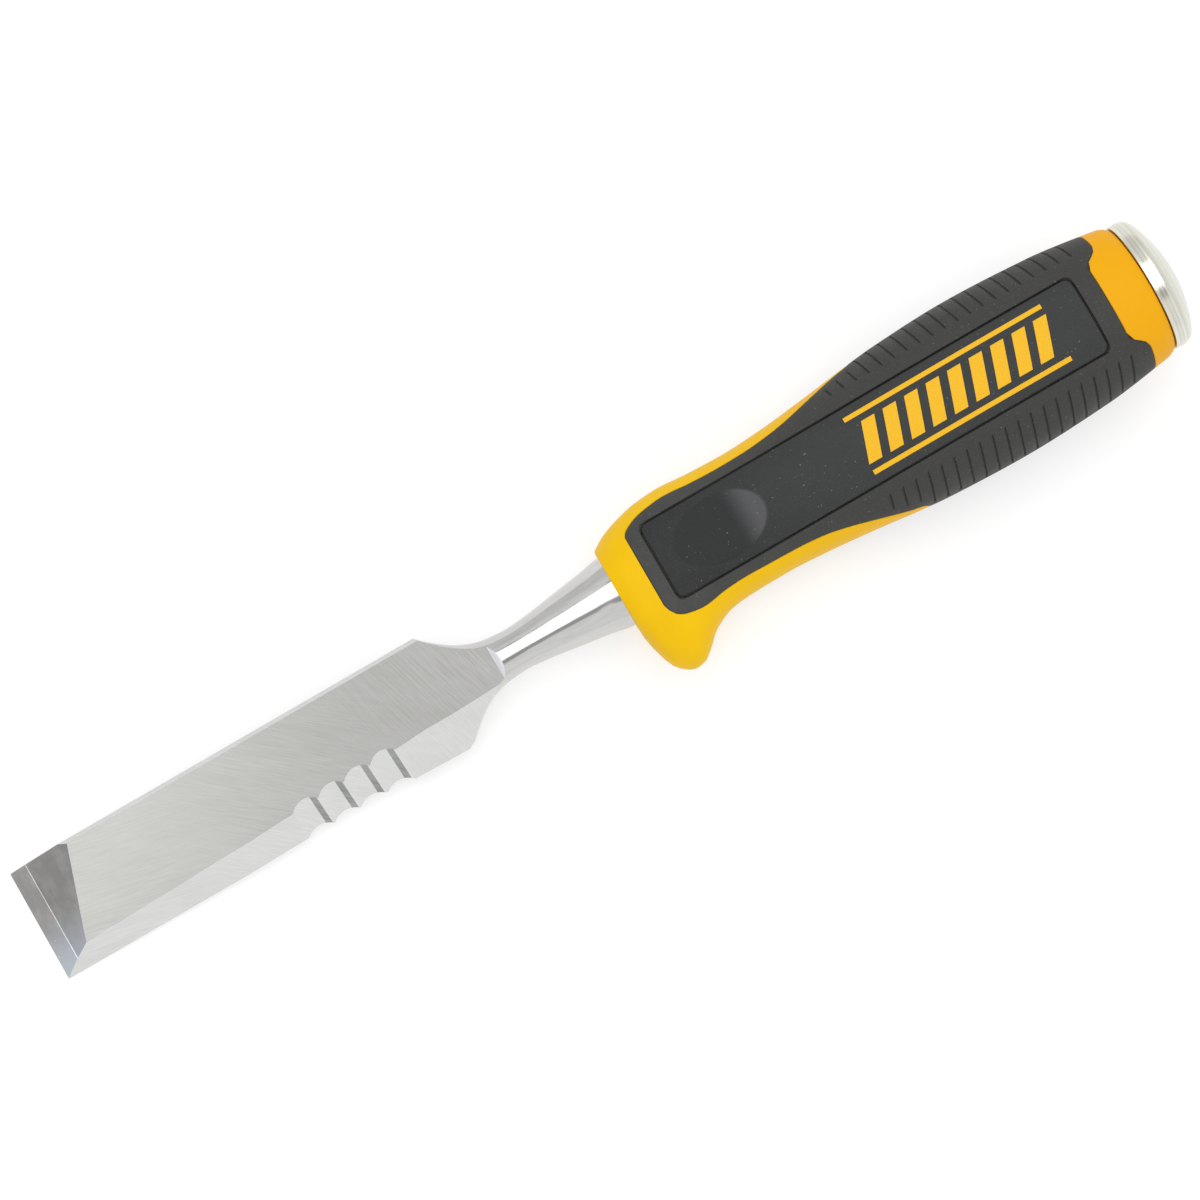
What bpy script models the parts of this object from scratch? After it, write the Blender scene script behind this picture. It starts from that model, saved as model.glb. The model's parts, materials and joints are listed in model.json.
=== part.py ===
"""Side-strike bench chisel: forged blade with a through tang, two-material handle, steel strike cap.

Tool axes while modelling: +X runs from the cutting edge to the strike cap along the neck's axis,
+Y points to the thick spine, +Z to the ground face.  The finished tool hangs on one empty that lays
it on a bench: cutting edge and handle belly touch z = 0, and the bounding box is centred over x, y.
"""
import math

import bmesh
import bpy
from mathutils import Matrix

MM = 0.001
GAP = 0.3 * MM                      # running gap between neighbouring pieces

# ---- blade ----
SPINE_Y = 12.5 * MM                 # spine face; with SHARP_EDGE the blade is one inch wide
SHARP_EDGE = (                      # lower edge of the sharp side in mm: x, y
    (-5.0, -12.75), (40.0, -12.75), (58.5, -12.4), (77.4, -12.2),
    (83.9, -12.9), (98.0, -13.1), (116.0, -13.1),
)
SIDE_LINE = (                       # where its bevel meets the face in mm: x, y
    (-5.0, -8.4), (32.0, -7.55), (57.0, -6.65), (98.0, -5.2), (116.0, -4.6),
)
BACK_Z = -3.0 * MM                  # flat back, below the neck's axis
SHOULDER_X = 98.0 * MM              # the blade keeps its width up to here
FACE_END_X = 111.0 * MM             # the ground face runs out here
SPINE_RISE = (6.71 * MM, 8.18 * MM)     # face height over the back at y = 11.3 mm: at x = 0, at face end
SPINE_RISE_Y = 11.3 * MM
SIDE_RISE = (3.62 * MM, 6.09 * MM)      # face height where the side bevel starts: at x = 0, at face end
SIDE_RISE_Y = (-8.13 * MM, -4.95 * MM)      # and where those heights are taken
PRIMARY_BEVEL = math.radians(24.3)
EDGE_BEVEL = math.radians(29.0)     # short steeper bevel along the cutting edge
EDGE_BEVEL_LEN = 4.0 * MM
SPINE_CHAMFER = 1.1 * MM
SERRATIONS = (58.5 * MM, 64.8 * MM, 71.1 * MM, 77.4 * MM, 83.9 * MM)    # cusps between the scallops
SCALLOP_R = 6.6 * MM
SCALLOP_DEPTH = 0.8 * MM
SCALLOP_REACH = (-6.0 * MM, 14.0 * MM)      # the flute's ends, along the side bevel
SCALLOP_AROUND = 44
BLANK_RISE = 9.0 * MM               # thickness of the plate that the faces are ground into
EDGE_EXTRA = 1.0 * MM               # plate left past the sharp edge for the bevel to cut away
CORNER_X = 0.8 * MM                 # the rear corner of the sharp edge is cut back by this

# ---- neck, bolster and tang: x, half width, half height, squareness of the section ----
NECK = (
    (SHOULDER_X, 12.6 * MM, 6.6 * MM, 8.0),
    (100.4 * MM, 10.8 * MM, 6.2 * MM, 6.0),
    (102.9 * MM, 8.8 * MM, 5.9 * MM, 4.6),
    (105.5 * MM, 7.1 * MM, 5.6 * MM, 3.6),
    (108.0 * MM, 6.0 * MM, 5.3 * MM, 2.8),
    (110.5 * MM, 5.3 * MM, 5.15 * MM, 2.2),
    (113.0 * MM, 5.0 * MM, 5.0 * MM, 2.0),
    (116.0 * MM, 4.8 * MM, 4.8 * MM, 2.0),
    (121.0 * MM, 5.2 * MM, 5.2 * MM, 2.0),
    (128.0 * MM, 6.2 * MM, 6.2 * MM, 2.0),
    (135.0 * MM, 7.2 * MM, 7.2 * MM, 2.0),
    (140.3 * MM, 8.1 * MM, 8.1 * MM, 2.0),
)
BOLSTER_R = 8.2 * MM
BOLSTER_END_X = 147.0 * MM
BOLSTER_ROUND = 0.8 * MM
TANG_R = 4.5 * MM
TANG_END_X = 270.0 * MM

# ---- handle: x and half size; the guard is a swelling of the edge side ----
HANDLE_X = 140.3 * MM
HANDLE_END_X = 267.0 * MM
SPINE_SIDE = (
    (140.3, 9.5), (143.4, 11.4), (148.5, 13.2), (153.0, 14.15), (158.5, 14.5), (165.0, 14.0),
    (174.0, 13.75), (182.0, 14.15), (194.0, 15.4), (205.0, 16.8), (212.0, 17.55), (229.0, 18.3),
    (249.0, 17.45), (262.0, 15.8), (265.5, 15.2), (267.0, 14.2),
)
GUARD_SIDE = (
    (140.3, 10.6), (141.4, 16.0), (143.4, 20.3), (147.0, 22.4), (149.0, 22.1), (151.0, 20.7),
    (155.0, 17.2), (160.0, 15.15), (165.0, 14.65), (174.0, 14.5), (182.0, 14.9), (194.0, 16.0),
    (205.0, 17.25), (212.0, 17.8), (229.0, 18.3), (249.0, 17.45), (262.0, 15.8), (265.5, 15.2),
    (267.0, 14.2),
)
THICKNESS = (
    (140.3, 9.2), (143.4, 10.4), (150.0, 11.1), (175.0, 12.2), (196.0, 13.7), (212.0, 14.9),
    (229.0, 15.9), (249.0, 15.8), (262.0, 15.1), (265.5, 14.8), (267.0, 14.2),
)
SQUARENESS = ((140.3, 2.0), (150.0, 2.3), (229.0, 2.35), (256.0, 2.2), (267.0, 2.0))

# ---- grip, panels, ribs ----
RUBBER = 1.8 * MM
TONGUE_SPINE = (
    (147.3, 8.4), (147.8, 9.3), (149.0, 10.1), (151.0, 11.0), (153.5, 11.6), (158.5, 12.1),
    (165.0, 11.6), (171.0, 11.4), (177.0, 11.5), (183.0, 12.0), (188.0, 12.8), (194.0, 14.2),
    (202.0, 16.05), (205.0, 16.6), (206.8, 17.6), (208.5, 26.0),
)
TONGUE_GUARD = (
    (147.3, 8.4), (147.8, 9.9), (149.0, 11.4), (151.0, 12.2), (154.5, 12.6), (160.0, 11.8),
    (165.0, 11.5), (171.0, 11.6), (177.0, 11.75), (183.0, 12.2), (188.0, 13.1), (194.0, 14.6),
    (202.0, 16.55), (205.0, 17.1), (206.8, 18.0), (208.5, 26.0),
)
GRIP_REAR = (
    (261.25, 26.0), (261.3, 15.0), (261.35, 12.0), (260.9, 11.0), (259.65, 10.0), (258.35, 9.0),
    (257.8, 7.8),
)
PANEL_X = (150.5 * MM, 253.5 * MM)
PANEL_HALF = 9.1 * MM
PANEL_CORNER = 2.0 * MM
PANEL_GROOVE = 0.5 * MM
DIMPLE = (165.3 * MM, 10.7 * MM, 7.1 * MM)      # centre x, half length, half width
DIMPLE_DEPTH = 0.9 * MM
RIB_COUNT = 20
RIB_PITCH = 3.02 * MM
RIB_FIRST_X = 198.7 * MM
RIB_WIDTH = 0.8 * MM
RIB_DEPTH = 0.5 * MM
RIB_INNER_Y = 11.8 * MM
RIB_LOW_Z = 2.5 * MM

# ---- strike cap ----
CAP_X = HANDLE_END_X + GAP
CAP_R = 14.6 * MM
CAP_RIM_END_X = 269.2 * MM          # the straight rim ends here
CAP_CHAMFER = 0.3 * MM
CAP_CORNER = 2.6 * MM               # radius between the rim and the dome
CAP_CORNER_STEPS = 5
CAP_DOME_STEPS = 8
LENGTH = 274.5 * MM

AROUND = 32                         # points round the handle's outer sections
AROUND_INSIDE = 24                  # and round its hidden inner ones
NECK_AROUND = 32
SHARP_ANGLE = math.radians(28.0)
BLADE_SHARP_ANGLE = math.radians(12.0)      # its flat faces keep every edge
FAR = 60.0 * MM                     # half size of the cutters' far sides
PAST = 5.0 * MM                     # how far a cutter starts before the piece
LAP = 0.02 * MM                     # overlap where two blanks are joined


def clear_scene():
    for item in list(bpy.data.objects):
        bpy.data.objects.remove(item, do_unlink=True)


def finish(name, colour, roughness, metallic):
    """A Principled material."""
    found = bpy.data.materials.new(name)
    found.use_nodes = True
    shader = found.node_tree.nodes["Principled BSDF"]
    shader.inputs["Base Color"].default_value = (*colour, 1.0)
    shader.inputs["Roughness"].default_value = roughness
    shader.inputs["Metallic"].default_value = metallic
    return found


def mesh_object(name, points, faces):
    """A closed mesh whose faces all point out."""
    mesh = bpy.data.meshes.new(name)
    mesh.from_pydata(points, [], faces)
    work = bmesh.new()
    work.from_mesh(mesh)
    bmesh.ops.recalc_face_normals(work, faces=work.faces)
    work.to_mesh(mesh)
    work.free()
    made = bpy.data.objects.new(name, mesh)
    bpy.context.scene.collection.objects.link(made)
    return made


def loft(name, rings):
    """A closed skin over rings of equal length, with flat ends."""
    count = len(rings[0])
    points = [point for ring in rings for point in ring]
    faces = []
    for row in range(len(rings) - 1):
        near, far = row * count, (row + 1) * count
        for i in range(count):
            j = (i + 1) % count
            faces.append((near + i, near + j, far + j, far + i))
    faces.append(tuple(range(count)))
    faces.append(tuple(range((len(rings) - 1) * count, len(rings) * count)))
    return mesh_object(name, points, faces)


def plan_prism(name, outline, low=-FAR, high=FAR):
    """An outline in x, y carried straight along z."""
    return loft(name, [[(x, y, z) for x, y in outline] for z in (low, high)])


def as_cutter(item):
    item.hide_render = True
    item.display_type = "WIRE"
    return item


def boolean(item, cutter, operation="DIFFERENCE"):
    step = item.modifiers.new(operation.lower(), "BOOLEAN")
    step.object = as_cutter(cutter)
    step.operation = operation
    step.solver = "EXACT"
    return item


def curve_value(points, at):
    """A smooth curve through (x, value) points that doesn't overshoot them."""
    if at <= points[0][0]:
        return points[0][1]
    if at >= points[-1][0]:
        return points[-1][1]
    spans = [(b[0] - a[0], (b[1] - a[1]) / (b[0] - a[0])) for a, b in zip(points, points[1:])]
    slopes = [spans[0][1]]
    for (h0, d0), (h1, d1) in zip(spans, spans[1:]):
        if d0 * d1 <= 0:
            slopes.append(0.0)
        else:
            w0, w1 = 2 * h1 + h0, h1 + 2 * h0
            slopes.append((w0 + w1) / (w0 / d0 + w1 / d1))
    slopes.append(spans[-1][1])
    i = max(k for k in range(len(spans)) if points[k][0] <= at)
    h = spans[i][0]
    t = (at - points[i][0]) / h
    return (
        (1 + 2 * t) * (1 - t) ** 2 * points[i][1] + t * (1 - t) ** 2 * h * slopes[i]
        + t * t * (3 - 2 * t) * points[i + 1][1] + t * t * (t - 1) * h * slopes[i + 1]
    )


def straight_value(points, x):
    """Value in metres at x on the straight lines through (x, value) points in mm."""
    for (x0, y0), (x1, y1) in zip(points, points[1:]):
        if x / MM <= x1:
            break
    return (y0 + (y1 - y0) * (x / MM - x0) / (x1 - x0)) * MM


def super_ring(x, left, right, half_height, power, count):
    """One section: a superellipse with its own half width on either side."""
    ring = []
    for i in range(count):
        turn = 2 * math.pi * i / count
        c, s = math.cos(turn), math.sin(turn)
        half = right if c >= 0 else left
        y = math.copysign(half * abs(c) ** (2 / power), c)
        z = math.copysign(half_height * abs(s) ** (2 / power), s)
        ring.append((x, y, z))
    return ring


# ---------------------------------------------------------------- blade
def face_height(x, y):
    """Height over the back of the ruled face surface."""
    t = x / FACE_END_X
    spine = SPINE_RISE[0] + t * (SPINE_RISE[1] - SPINE_RISE[0])
    side = SIDE_RISE[0] + t * (SIDE_RISE[1] - SIDE_RISE[0])
    side_y = SIDE_RISE_Y[0] + t * (SIDE_RISE_Y[1] - SIDE_RISE_Y[0])
    return side + (spine - side) * (y - side_y) / (SPINE_RISE_Y - side_y)


def ground_run_out(name, height):
    """Everything over a face that ends in a 45 degree step at FACE_END_X; height(x, y) is the face."""
    stations = 10
    reach = 16 * MM
    rings = []
    for i in range(stations + 1):
        x = -PAST + (FACE_END_X + PAST) * i / stations
        low, high = height(x, -reach), height(x, reach)
        rings.append([(x, -reach, low), (x, reach, high), (x, reach, FAR), (x, -reach, FAR)])
    low, high = height(FACE_END_X, -reach), height(FACE_END_X, reach)
    top = 12 * MM
    end = FACE_END_X
    rings.append([
        (end + top - low, -reach, top), (end + top - high, reach, top), (end + top, reach, FAR),
        (end + top, -reach, FAR),
    ])
    return loft(name, rings)


def wedge(name, profile, low=-FAR, high=FAR):
    """A cutter with a profile in x, z carried along y."""
    return loft(name, [[(x, y, z) for x, z in profile] for y in (low, high)])


def neck_blank():
    """Shoulder, neck, bolster and tang as one loft; it starts inside the plate."""
    _, wide, high, power = NECK[0]
    rings = [super_ring(SHOULDER_X - PAST, wide, wide, high, power, NECK_AROUND)]
    rings += [super_ring(x, w, w, h, n, NECK_AROUND) for x, w, h, n in NECK]
    for x, r in (
        (BOLSTER_END_X - BOLSTER_ROUND, BOLSTER_R), (BOLSTER_END_X, BOLSTER_R - BOLSTER_ROUND),
        (BOLSTER_END_X + LAP, TANG_R), (TANG_END_X - MM, TANG_R), (TANG_END_X, TANG_R - MM),
    ):
        rings.append(super_ring(x, r, r, r, 2.0, NECK_AROUND))
    return loft("neck_blank", rings)


def side_bevel_at(x):
    """The sharp edge's y at x, and how steeply the bevel climbs from it to its line on the face."""
    edge, line = straight_value(SHARP_EDGE, x), straight_value(SIDE_LINE, x)
    return edge, face_height(x, line) / (line - edge)


def side_bevel_cutter(past=2 * MM, rise=12 * MM):
    """Everything over the sharp side's bevel."""
    rings = []
    for x in sorted({x * MM for x, _ in SHARP_EDGE + SIDE_LINE}):
        edge, slope = side_bevel_at(x)
        rings.append([(x, edge - past, BACK_Z - past * slope), (x, edge + rise / slope, BACK_Z + rise),
                      (x, edge - past, BACK_Z + rise)])
    return loft("side_bevel", rings)


def cutting_bevel_cutter(land=0.05 * MM, run=30 * MM):
    """The primary bevel and the short steeper one at the edge, which keeps a thin blunt land."""
    step_z = BACK_Z + EDGE_BEVEL_LEN * math.tan(EDGE_BEVEL)
    top = step_z + run * math.tan(PRIMARY_BEVEL)
    return wedge("cutting_bevel", [
        (-land, BACK_Z - MM), (-land, BACK_Z + land), (EDGE_BEVEL_LEN, step_z),
        (EDGE_BEVEL_LEN + run, top), (-PAST, top), (-PAST, BACK_Z - MM),
    ])


def spine_chamfer_cutter(past=3 * MM, fall=0.8, lift=0.2 * MM):
    """The chamfer along the spine; fall is its drop for each unit of width, lift starts it on the face."""
    return loft("spine_chamfer", [
        [(x, SPINE_Y - SPINE_CHAMFER - past, BACK_Z + rise + past + lift),
         (x, SPINE_Y + past, BACK_Z + rise - past - SPINE_CHAMFER * fall),
         (x, SPINE_Y + past, BACK_Z + rise + 2 * past)]
        for x, rise in ((-PAST, SPINE_RISE[0]), (FACE_END_X, SPINE_RISE[1]))
    ])


def blade():
    rear_x = SHOULDER_X - CORNER_X
    stations = [0.0] + [x * MM for x, _ in SHARP_EDGE if 0 < x * MM < rear_x] + [rear_x]
    outline = [(x, straight_value(SHARP_EDGE, x) - EDGE_EXTRA) for x in stations]
    outline += [(rear_x, straight_value(SHARP_EDGE, rear_x))]
    outline += [(SHOULDER_X + LAP, -SPINE_Y), (SHOULDER_X + LAP, SPINE_Y), (0.0, SPINE_Y)]
    body = plan_prism("blade", outline, BACK_Z, BACK_Z + BLANK_RISE)
    boolean(body, neck_blank(), "UNION")
    boolean(body, ground_run_out("face_grind", lambda x, y: BACK_Z + face_height(x, y)))
    under = ground_run_out("back_grind", lambda x, y: -BACK_Z)
    under.data.transform(Matrix.Scale(-1, 4, (0, 0, 1)))
    under.data.flip_normals()
    boolean(body, under)
    boolean(body, side_bevel_cutter())
    boolean(body, cutting_bevel_cutter())
    boolean(body, spine_chamfer_cutter())
    for number, (first, last) in enumerate(zip(SERRATIONS, SERRATIONS[1:])):
        boolean(body, scallop(f"scallop_{number + 1}", first, last))
    return body


def scallop(name, first, last):
    """A round flute laid along the side bevel's fall line."""
    half = (last - first) / 2
    centre = math.sqrt(SCALLOP_R ** 2 - half ** 2)
    drop = SCALLOP_DEPTH - (SCALLOP_R - centre)
    edge, slope = side_bevel_at((first + last) / 2)
    bevel = math.atan(slope)
    normal = (-math.sin(bevel), math.cos(bevel))
    along = (math.cos(bevel), math.sin(bevel))
    rings = []
    for reach in SCALLOP_REACH:
        ring = []
        for i in range(SCALLOP_AROUND):
            turn = 2 * math.pi * i / SCALLOP_AROUND
            out = centre - drop + SCALLOP_R * math.sin(turn)
            x = (first + last) / 2 + SCALLOP_R * math.cos(turn)
            ring.append((x, edge + along[0] * reach + normal[0] * out,
                         BACK_Z + along[1] * reach + normal[1] * out))
        rings.append(ring)
    return loft(name, rings)


# ---------------------------------------------------------------- handle
def handle_stations(first, last, stretch=1.0):
    """Section places in mm: close together at the guard and the rear end, wide between."""
    spacing = ((140.3, 1.1), (146.0, 1.8), (160.0, 4.0), (200.0, 6.0), (250.0, 4.0), (262.0, 1.3))
    places, at = [], first
    while at < last - 0.4:
        places.append(at)
        at += stretch * next(step for start, step in reversed(spacing) if at >= start - 1e-6)
    places.append(last)
    return places


def envelope(name, inset=0.0):
    """The handle's outer form, or a plainer, shorter one pulled in all round by inset."""
    if inset:
        places, around = handle_stations(142.0, 266.0, 1.6), AROUND_INSIDE
    else:
        places, around = handle_stations(140.3, 267.0), AROUND
    rings = []
    for x in places:
        left = curve_value(GUARD_SIDE, x) * MM - inset
        right = curve_value(SPINE_SIDE, x) * MM - inset
        high = curve_value(THICKNESS, x) * MM - inset
        rings.append(super_ring(x * MM, left, right, high, curve_value(SQUARENESS, x), around))
    return loft(name, rings)


def grip_outline(grow=0.0):
    """Plan of the rubber: a tongue that widens into the full handle, and a lobed rear edge."""
    steps = 30
    first, last = TONGUE_SPINE[0][0], TONGUE_SPINE[-1][0]
    outline = []
    for tongue, sign in ((TONGUE_SPINE, 1), (TONGUE_GUARD, -1)):
        half = []
        for i in range(steps + 1):
            x = first + (last - first) * i / steps
            half.append((x * MM - grow * (i == 0), sign * (curve_value(tongue, x) * MM + grow)))
        half += [(x * MM + grow, sign * y * MM) for x, y in GRIP_REAR]
        outline += half if sign > 0 else reversed(half)
    return outline


def rounded_rectangle(x0, x1, half, corner):
    points = []
    steps = 5
    for cx, cy, start in (
        (x1 - corner, half - corner, 0.0), (x0 + corner, half - corner, 0.5 * math.pi),
        (x0 + corner, corner - half, math.pi), (x1 - corner, corner - half, 1.5 * math.pi),
    ):
        for i in range(steps + 1):
            turn = start + 0.5 * math.pi * i / steps
            points.append((cx + corner * math.cos(turn), cy + corner * math.sin(turn)))
    return points


def panel_outline(inset=0.0):
    return rounded_rectangle(
        PANEL_X[0] + inset, PANEL_X[1] - inset, PANEL_HALF - inset, PANEL_CORNER - inset
    )


def rib_cutter():
    """Slots across both flanks of the grip, on the face side and on the back side."""
    points, faces = [], []
    for number in range(RIB_COUNT):
        x = RIB_FIRST_X + number * RIB_PITCH
        for y_side in (-1, 1):
            for z_side in (-1, 1):
                base = len(points)
                for dx in (-RIB_WIDTH / 2, RIB_WIDTH / 2):
                    for y, z in ((RIB_INNER_Y, RIB_LOW_Z), (FAR, RIB_LOW_Z), (FAR, FAR), (RIB_INNER_Y, FAR)):
                        points.append((x + dx, y_side * y, z_side * z))
                for i in range(4):
                    j = (i + 1) % 4
                    faces.append((base + i, base + j, base + 4 + j, base + 4 + i))
                faces.append(tuple(base + i for i in range(4)))
                faces.append(tuple(base + 4 + i for i in range(4)))
    slots = mesh_object("rib_slots", points, faces)
    return boolean(slots, envelope("rib_floor", RIB_DEPTH))


def handle_core():
    core = envelope("handle_core")
    pocket = plan_prism("grip_pocket", grip_outline(GAP))
    boolean(pocket, envelope("pocket_floor", RUBBER + GAP))
    boolean(core, pocket)
    rings = []
    for x, r in (
        (HANDLE_X - PAST, BOLSTER_R + GAP), (BOLSTER_END_X + GAP, BOLSTER_R + GAP),
        (BOLSTER_END_X + GAP + LAP, TANG_R + GAP), (HANDLE_END_X + PAST, TANG_R + GAP),
    ):
        rings.append(super_ring(x, r, r, r, 2.0, NECK_AROUND))
    return boolean(core, loft("tang_bore", rings))


def grip_overmould():
    grip = envelope("grip_overmould")
    boolean(grip, plan_prism("grip_plan", grip_outline()), "INTERSECT")
    boolean(grip, envelope("grip_hollow", RUBBER))
    boolean(grip, plan_prism("panel_window", panel_outline()))
    return boolean(grip, rib_cutter())


def panel(name, side):
    low, high = (0.0, FAR) if side > 0 else (-FAR, 0.0)
    pad = envelope(name)
    boolean(pad, plan_prism(f"{name}_plan", panel_outline(PANEL_GROOVE), low, high), "INTERSECT")
    boolean(pad, envelope(f"{name}_floor", RUBBER))
    return boolean(pad, dimple(f"{name}_dimple", side))


def dimple(name, side):
    """An ellipsoid pressed into the panel; at the surface its section is sqrt(0.5) of its full size."""
    centre_x, half_x, half_y = DIMPLE
    half_z = DIMPLE_DEPTH / (1 - math.sqrt(0.5))
    centre_z = curve_value(THICKNESS, centre_x / MM) * MM + half_z * math.sqrt(0.5)
    work = bmesh.new()
    bmesh.ops.create_uvsphere(work, u_segments=24, v_segments=16, radius=1.0)
    mesh = bpy.data.meshes.new(name)
    work.to_mesh(mesh)
    work.free()
    wide = math.sqrt(2.0)
    size = Matrix.Diagonal((half_x * wide, half_y * wide, half_z, 1.0))
    mesh.transform(Matrix.Translation((centre_x, 0.0, side * centre_z)) @ size)
    made = bpy.data.objects.new(name, mesh)
    bpy.context.scene.collection.objects.link(made)
    return made


# ---------------------------------------------------------------- strike cap
def strike_cap():
    """Turned cap: straight rim, a corner that meets the dome smoothly, and a blind hole for the tang."""
    hole = TANG_R + GAP
    profile = [
        (TANG_END_X + GAP, hole), (CAP_X, hole), (CAP_X, CAP_R - CAP_CHAMFER), (CAP_X + CAP_CHAMFER, CAP_R),
        (CAP_RIM_END_X, CAP_R),
    ]
    corner_r = CAP_R - CAP_CORNER
    drop = LENGTH - CAP_RIM_END_X
    sphere = (drop ** 2 + corner_r ** 2 - CAP_CORNER ** 2) / (2 * (drop - CAP_CORNER))
    meet = math.asin((sphere - drop) / (sphere - CAP_CORNER))
    for i in range(1, CAP_CORNER_STEPS + 1):
        turn = meet * i / CAP_CORNER_STEPS
        profile.append((CAP_RIM_END_X + CAP_CORNER * math.sin(turn), corner_r + CAP_CORNER * math.cos(turn)))
    edge = profile[-1][1]
    for i in range(1, CAP_DOME_STEPS):
        r = edge * (1 - i / CAP_DOME_STEPS)
        profile.append((LENGTH - sphere + math.sqrt(sphere ** 2 - r ** 2), r))
    return loft("strike_cap", [super_ring(x, r, r, r, 2.0, NECK_AROUND) for x, r in profile])


# ---------------------------------------------------------------- the whole tool
def settle(piece, look):
    """Apply the cuts, so that smooth shading can keep the cut edges sharp."""
    graph = bpy.context.evaluated_depsgraph_get()
    mesh = bpy.data.meshes.new_from_object(piece.evaluated_get(graph))
    piece.modifiers.clear()
    piece.data = mesh
    mesh.name = piece.name
    mesh.materials.clear()
    mesh.materials.append(look)
    mesh.shade_smooth()
    mesh.set_sharp_from_angle(angle=BLADE_SHARP_ANGLE if piece.name == "blade" else SHARP_ANGLE)


def lay_on_bench(pieces):
    """Hang the pieces on an empty pitched so that the edge and the handle's belly touch z = 0."""
    pitch = max(
        math.atan2(curve_value(THICKNESS, x) * MM + BACK_Z, x * MM)
        for x in handle_stations(HANDLE_X / MM, HANDLE_END_X / MM)
    )
    bench = bpy.data.objects.new("bench_pose", None)
    bpy.context.scene.collection.objects.link(bench)
    turn = Matrix.Rotation(-pitch, 4, "Y")
    widest = max(half for _, half in GUARD_SIDE) * MM
    slimmest = max(half for _, half in SPINE_SIDE) * MM
    middle_x = (turn @ Matrix.Translation((0, 0, BACK_Z))).translation.x
    middle_x = (middle_x + LENGTH * math.cos(pitch)) / 2
    bench.matrix_world = Matrix.Translation(
        (-middle_x, (widest - slimmest) / 2, -BACK_Z * math.cos(pitch))
    ) @ turn
    for piece in pieces:
        piece.parent = bench


def main():
    clear_scene()
    steel = finish("blade_steel", (0.62, 0.62, 0.60), 0.32, 1.0)
    yellow = finish("yellow_plastic", (0.92, 0.47, 0.02), 0.42, 0.0)
    rubber = finish("black_rubber", (0.035, 0.036, 0.036), 0.68, 0.0)
    pad = finish("panel_rubber", (0.045, 0.047, 0.047), 0.55, 0.0)
    plated = finish("plated_steel", (0.72, 0.71, 0.66), 0.22, 1.0)
    pieces = {
        blade(): steel,
        handle_core(): yellow,
        grip_overmould(): rubber,
        panel("front_panel", 1): pad,
        panel("back_panel", -1): pad,
        strike_cap(): plated,
    }
    for piece, look in pieces.items():
        settle(piece, look)
    for item in list(bpy.context.scene.objects):
        if item not in pieces:
            bpy.data.objects.remove(item, do_unlink=True)
    lay_on_bench(pieces)


main()
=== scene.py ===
"""The bench chisel's looks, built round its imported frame.

Every shape is made in the tool's own axes, in millimetres: +X runs from the cutting edge to the
strike cap along the neck, +Y points to the thick spine and +Z to the ground face.  tool_pose() reads
from the frame how the tool lies on the bench, and each finished mesh is turned into that pose.
"""

import json
import math

import bmesh
import bpy
import numpy as np
from mathutils import Matrix, Vector
from mathutils.kdtree import KDTree


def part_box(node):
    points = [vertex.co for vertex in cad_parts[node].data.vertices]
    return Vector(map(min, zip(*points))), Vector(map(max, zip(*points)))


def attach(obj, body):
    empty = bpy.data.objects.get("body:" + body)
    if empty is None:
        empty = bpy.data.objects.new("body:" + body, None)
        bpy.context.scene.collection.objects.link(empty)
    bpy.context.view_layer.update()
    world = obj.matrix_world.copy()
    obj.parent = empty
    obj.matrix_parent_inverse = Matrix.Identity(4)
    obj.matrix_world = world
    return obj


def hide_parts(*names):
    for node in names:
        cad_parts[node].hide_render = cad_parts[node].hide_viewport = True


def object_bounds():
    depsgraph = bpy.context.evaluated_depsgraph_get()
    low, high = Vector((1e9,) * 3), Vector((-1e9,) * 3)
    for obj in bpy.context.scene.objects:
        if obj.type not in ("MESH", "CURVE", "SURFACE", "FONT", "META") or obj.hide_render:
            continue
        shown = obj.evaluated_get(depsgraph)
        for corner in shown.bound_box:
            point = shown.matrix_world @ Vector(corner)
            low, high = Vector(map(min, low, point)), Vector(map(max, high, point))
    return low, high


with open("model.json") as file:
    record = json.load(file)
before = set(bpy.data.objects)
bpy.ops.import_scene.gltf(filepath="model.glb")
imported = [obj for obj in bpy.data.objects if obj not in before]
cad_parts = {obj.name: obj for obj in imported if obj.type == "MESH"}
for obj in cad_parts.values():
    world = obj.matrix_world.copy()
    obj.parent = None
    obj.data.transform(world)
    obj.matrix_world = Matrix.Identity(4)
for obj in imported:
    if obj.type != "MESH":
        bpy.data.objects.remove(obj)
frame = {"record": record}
cad_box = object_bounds()

MM = 0.001
GAP = 0.3  # between neighbouring pieces, in mm

# ---- blade, in mm ----
SPINE_Y, BACK_Z = 12.5, -3.0
SHARP_EDGE = (  # lower edge of the sharp side: x, y
    (-5.0, -12.75), (40.0, -12.75), (59.6, -12.38), (78.6, -12.25),
    (83.2, -12.85), (98.0, -13.1), (116.0, -13.1),
)
SIDE_LINE = (  # where its bevel meets the face: x, y
    (-5.0, -8.4), (32.0, -7.55), (56.1, -6.68), (98.0, -5.2), (116.0, -4.6),
)
SHOULDER_X, FACE_END_X = 98.0, 111.0
SPINE_RISE, SPINE_RISE_Y = (6.71, 8.18), 11.3  # face height over the back near the spine: tip, face end
SIDE_RISE, SIDE_RISE_Y = (3.62, 6.09), (-8.13, -4.95)  # the same near the side bevel, and at which y
PRIMARY_BEVEL = math.radians(24.3)
EDGE_BEVEL, EDGE_BEVEL_LEN = math.radians(29.0), 4.0
EDGE_LAND = 0.05  # the blunt land that the cutting edge keeps
BEVEL_LINE, BEVEL_LINE_SLOPE = 0.13, math.radians(6.6)
BEVEL_END_X = 18.0  # nothing of the cutting bevel lies past this
SPINE_CHAMFER = 1.1
SERRATIONS = (58.5, 64.8, 71.1, 77.4, 83.9)  # cusps between the flutes
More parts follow.
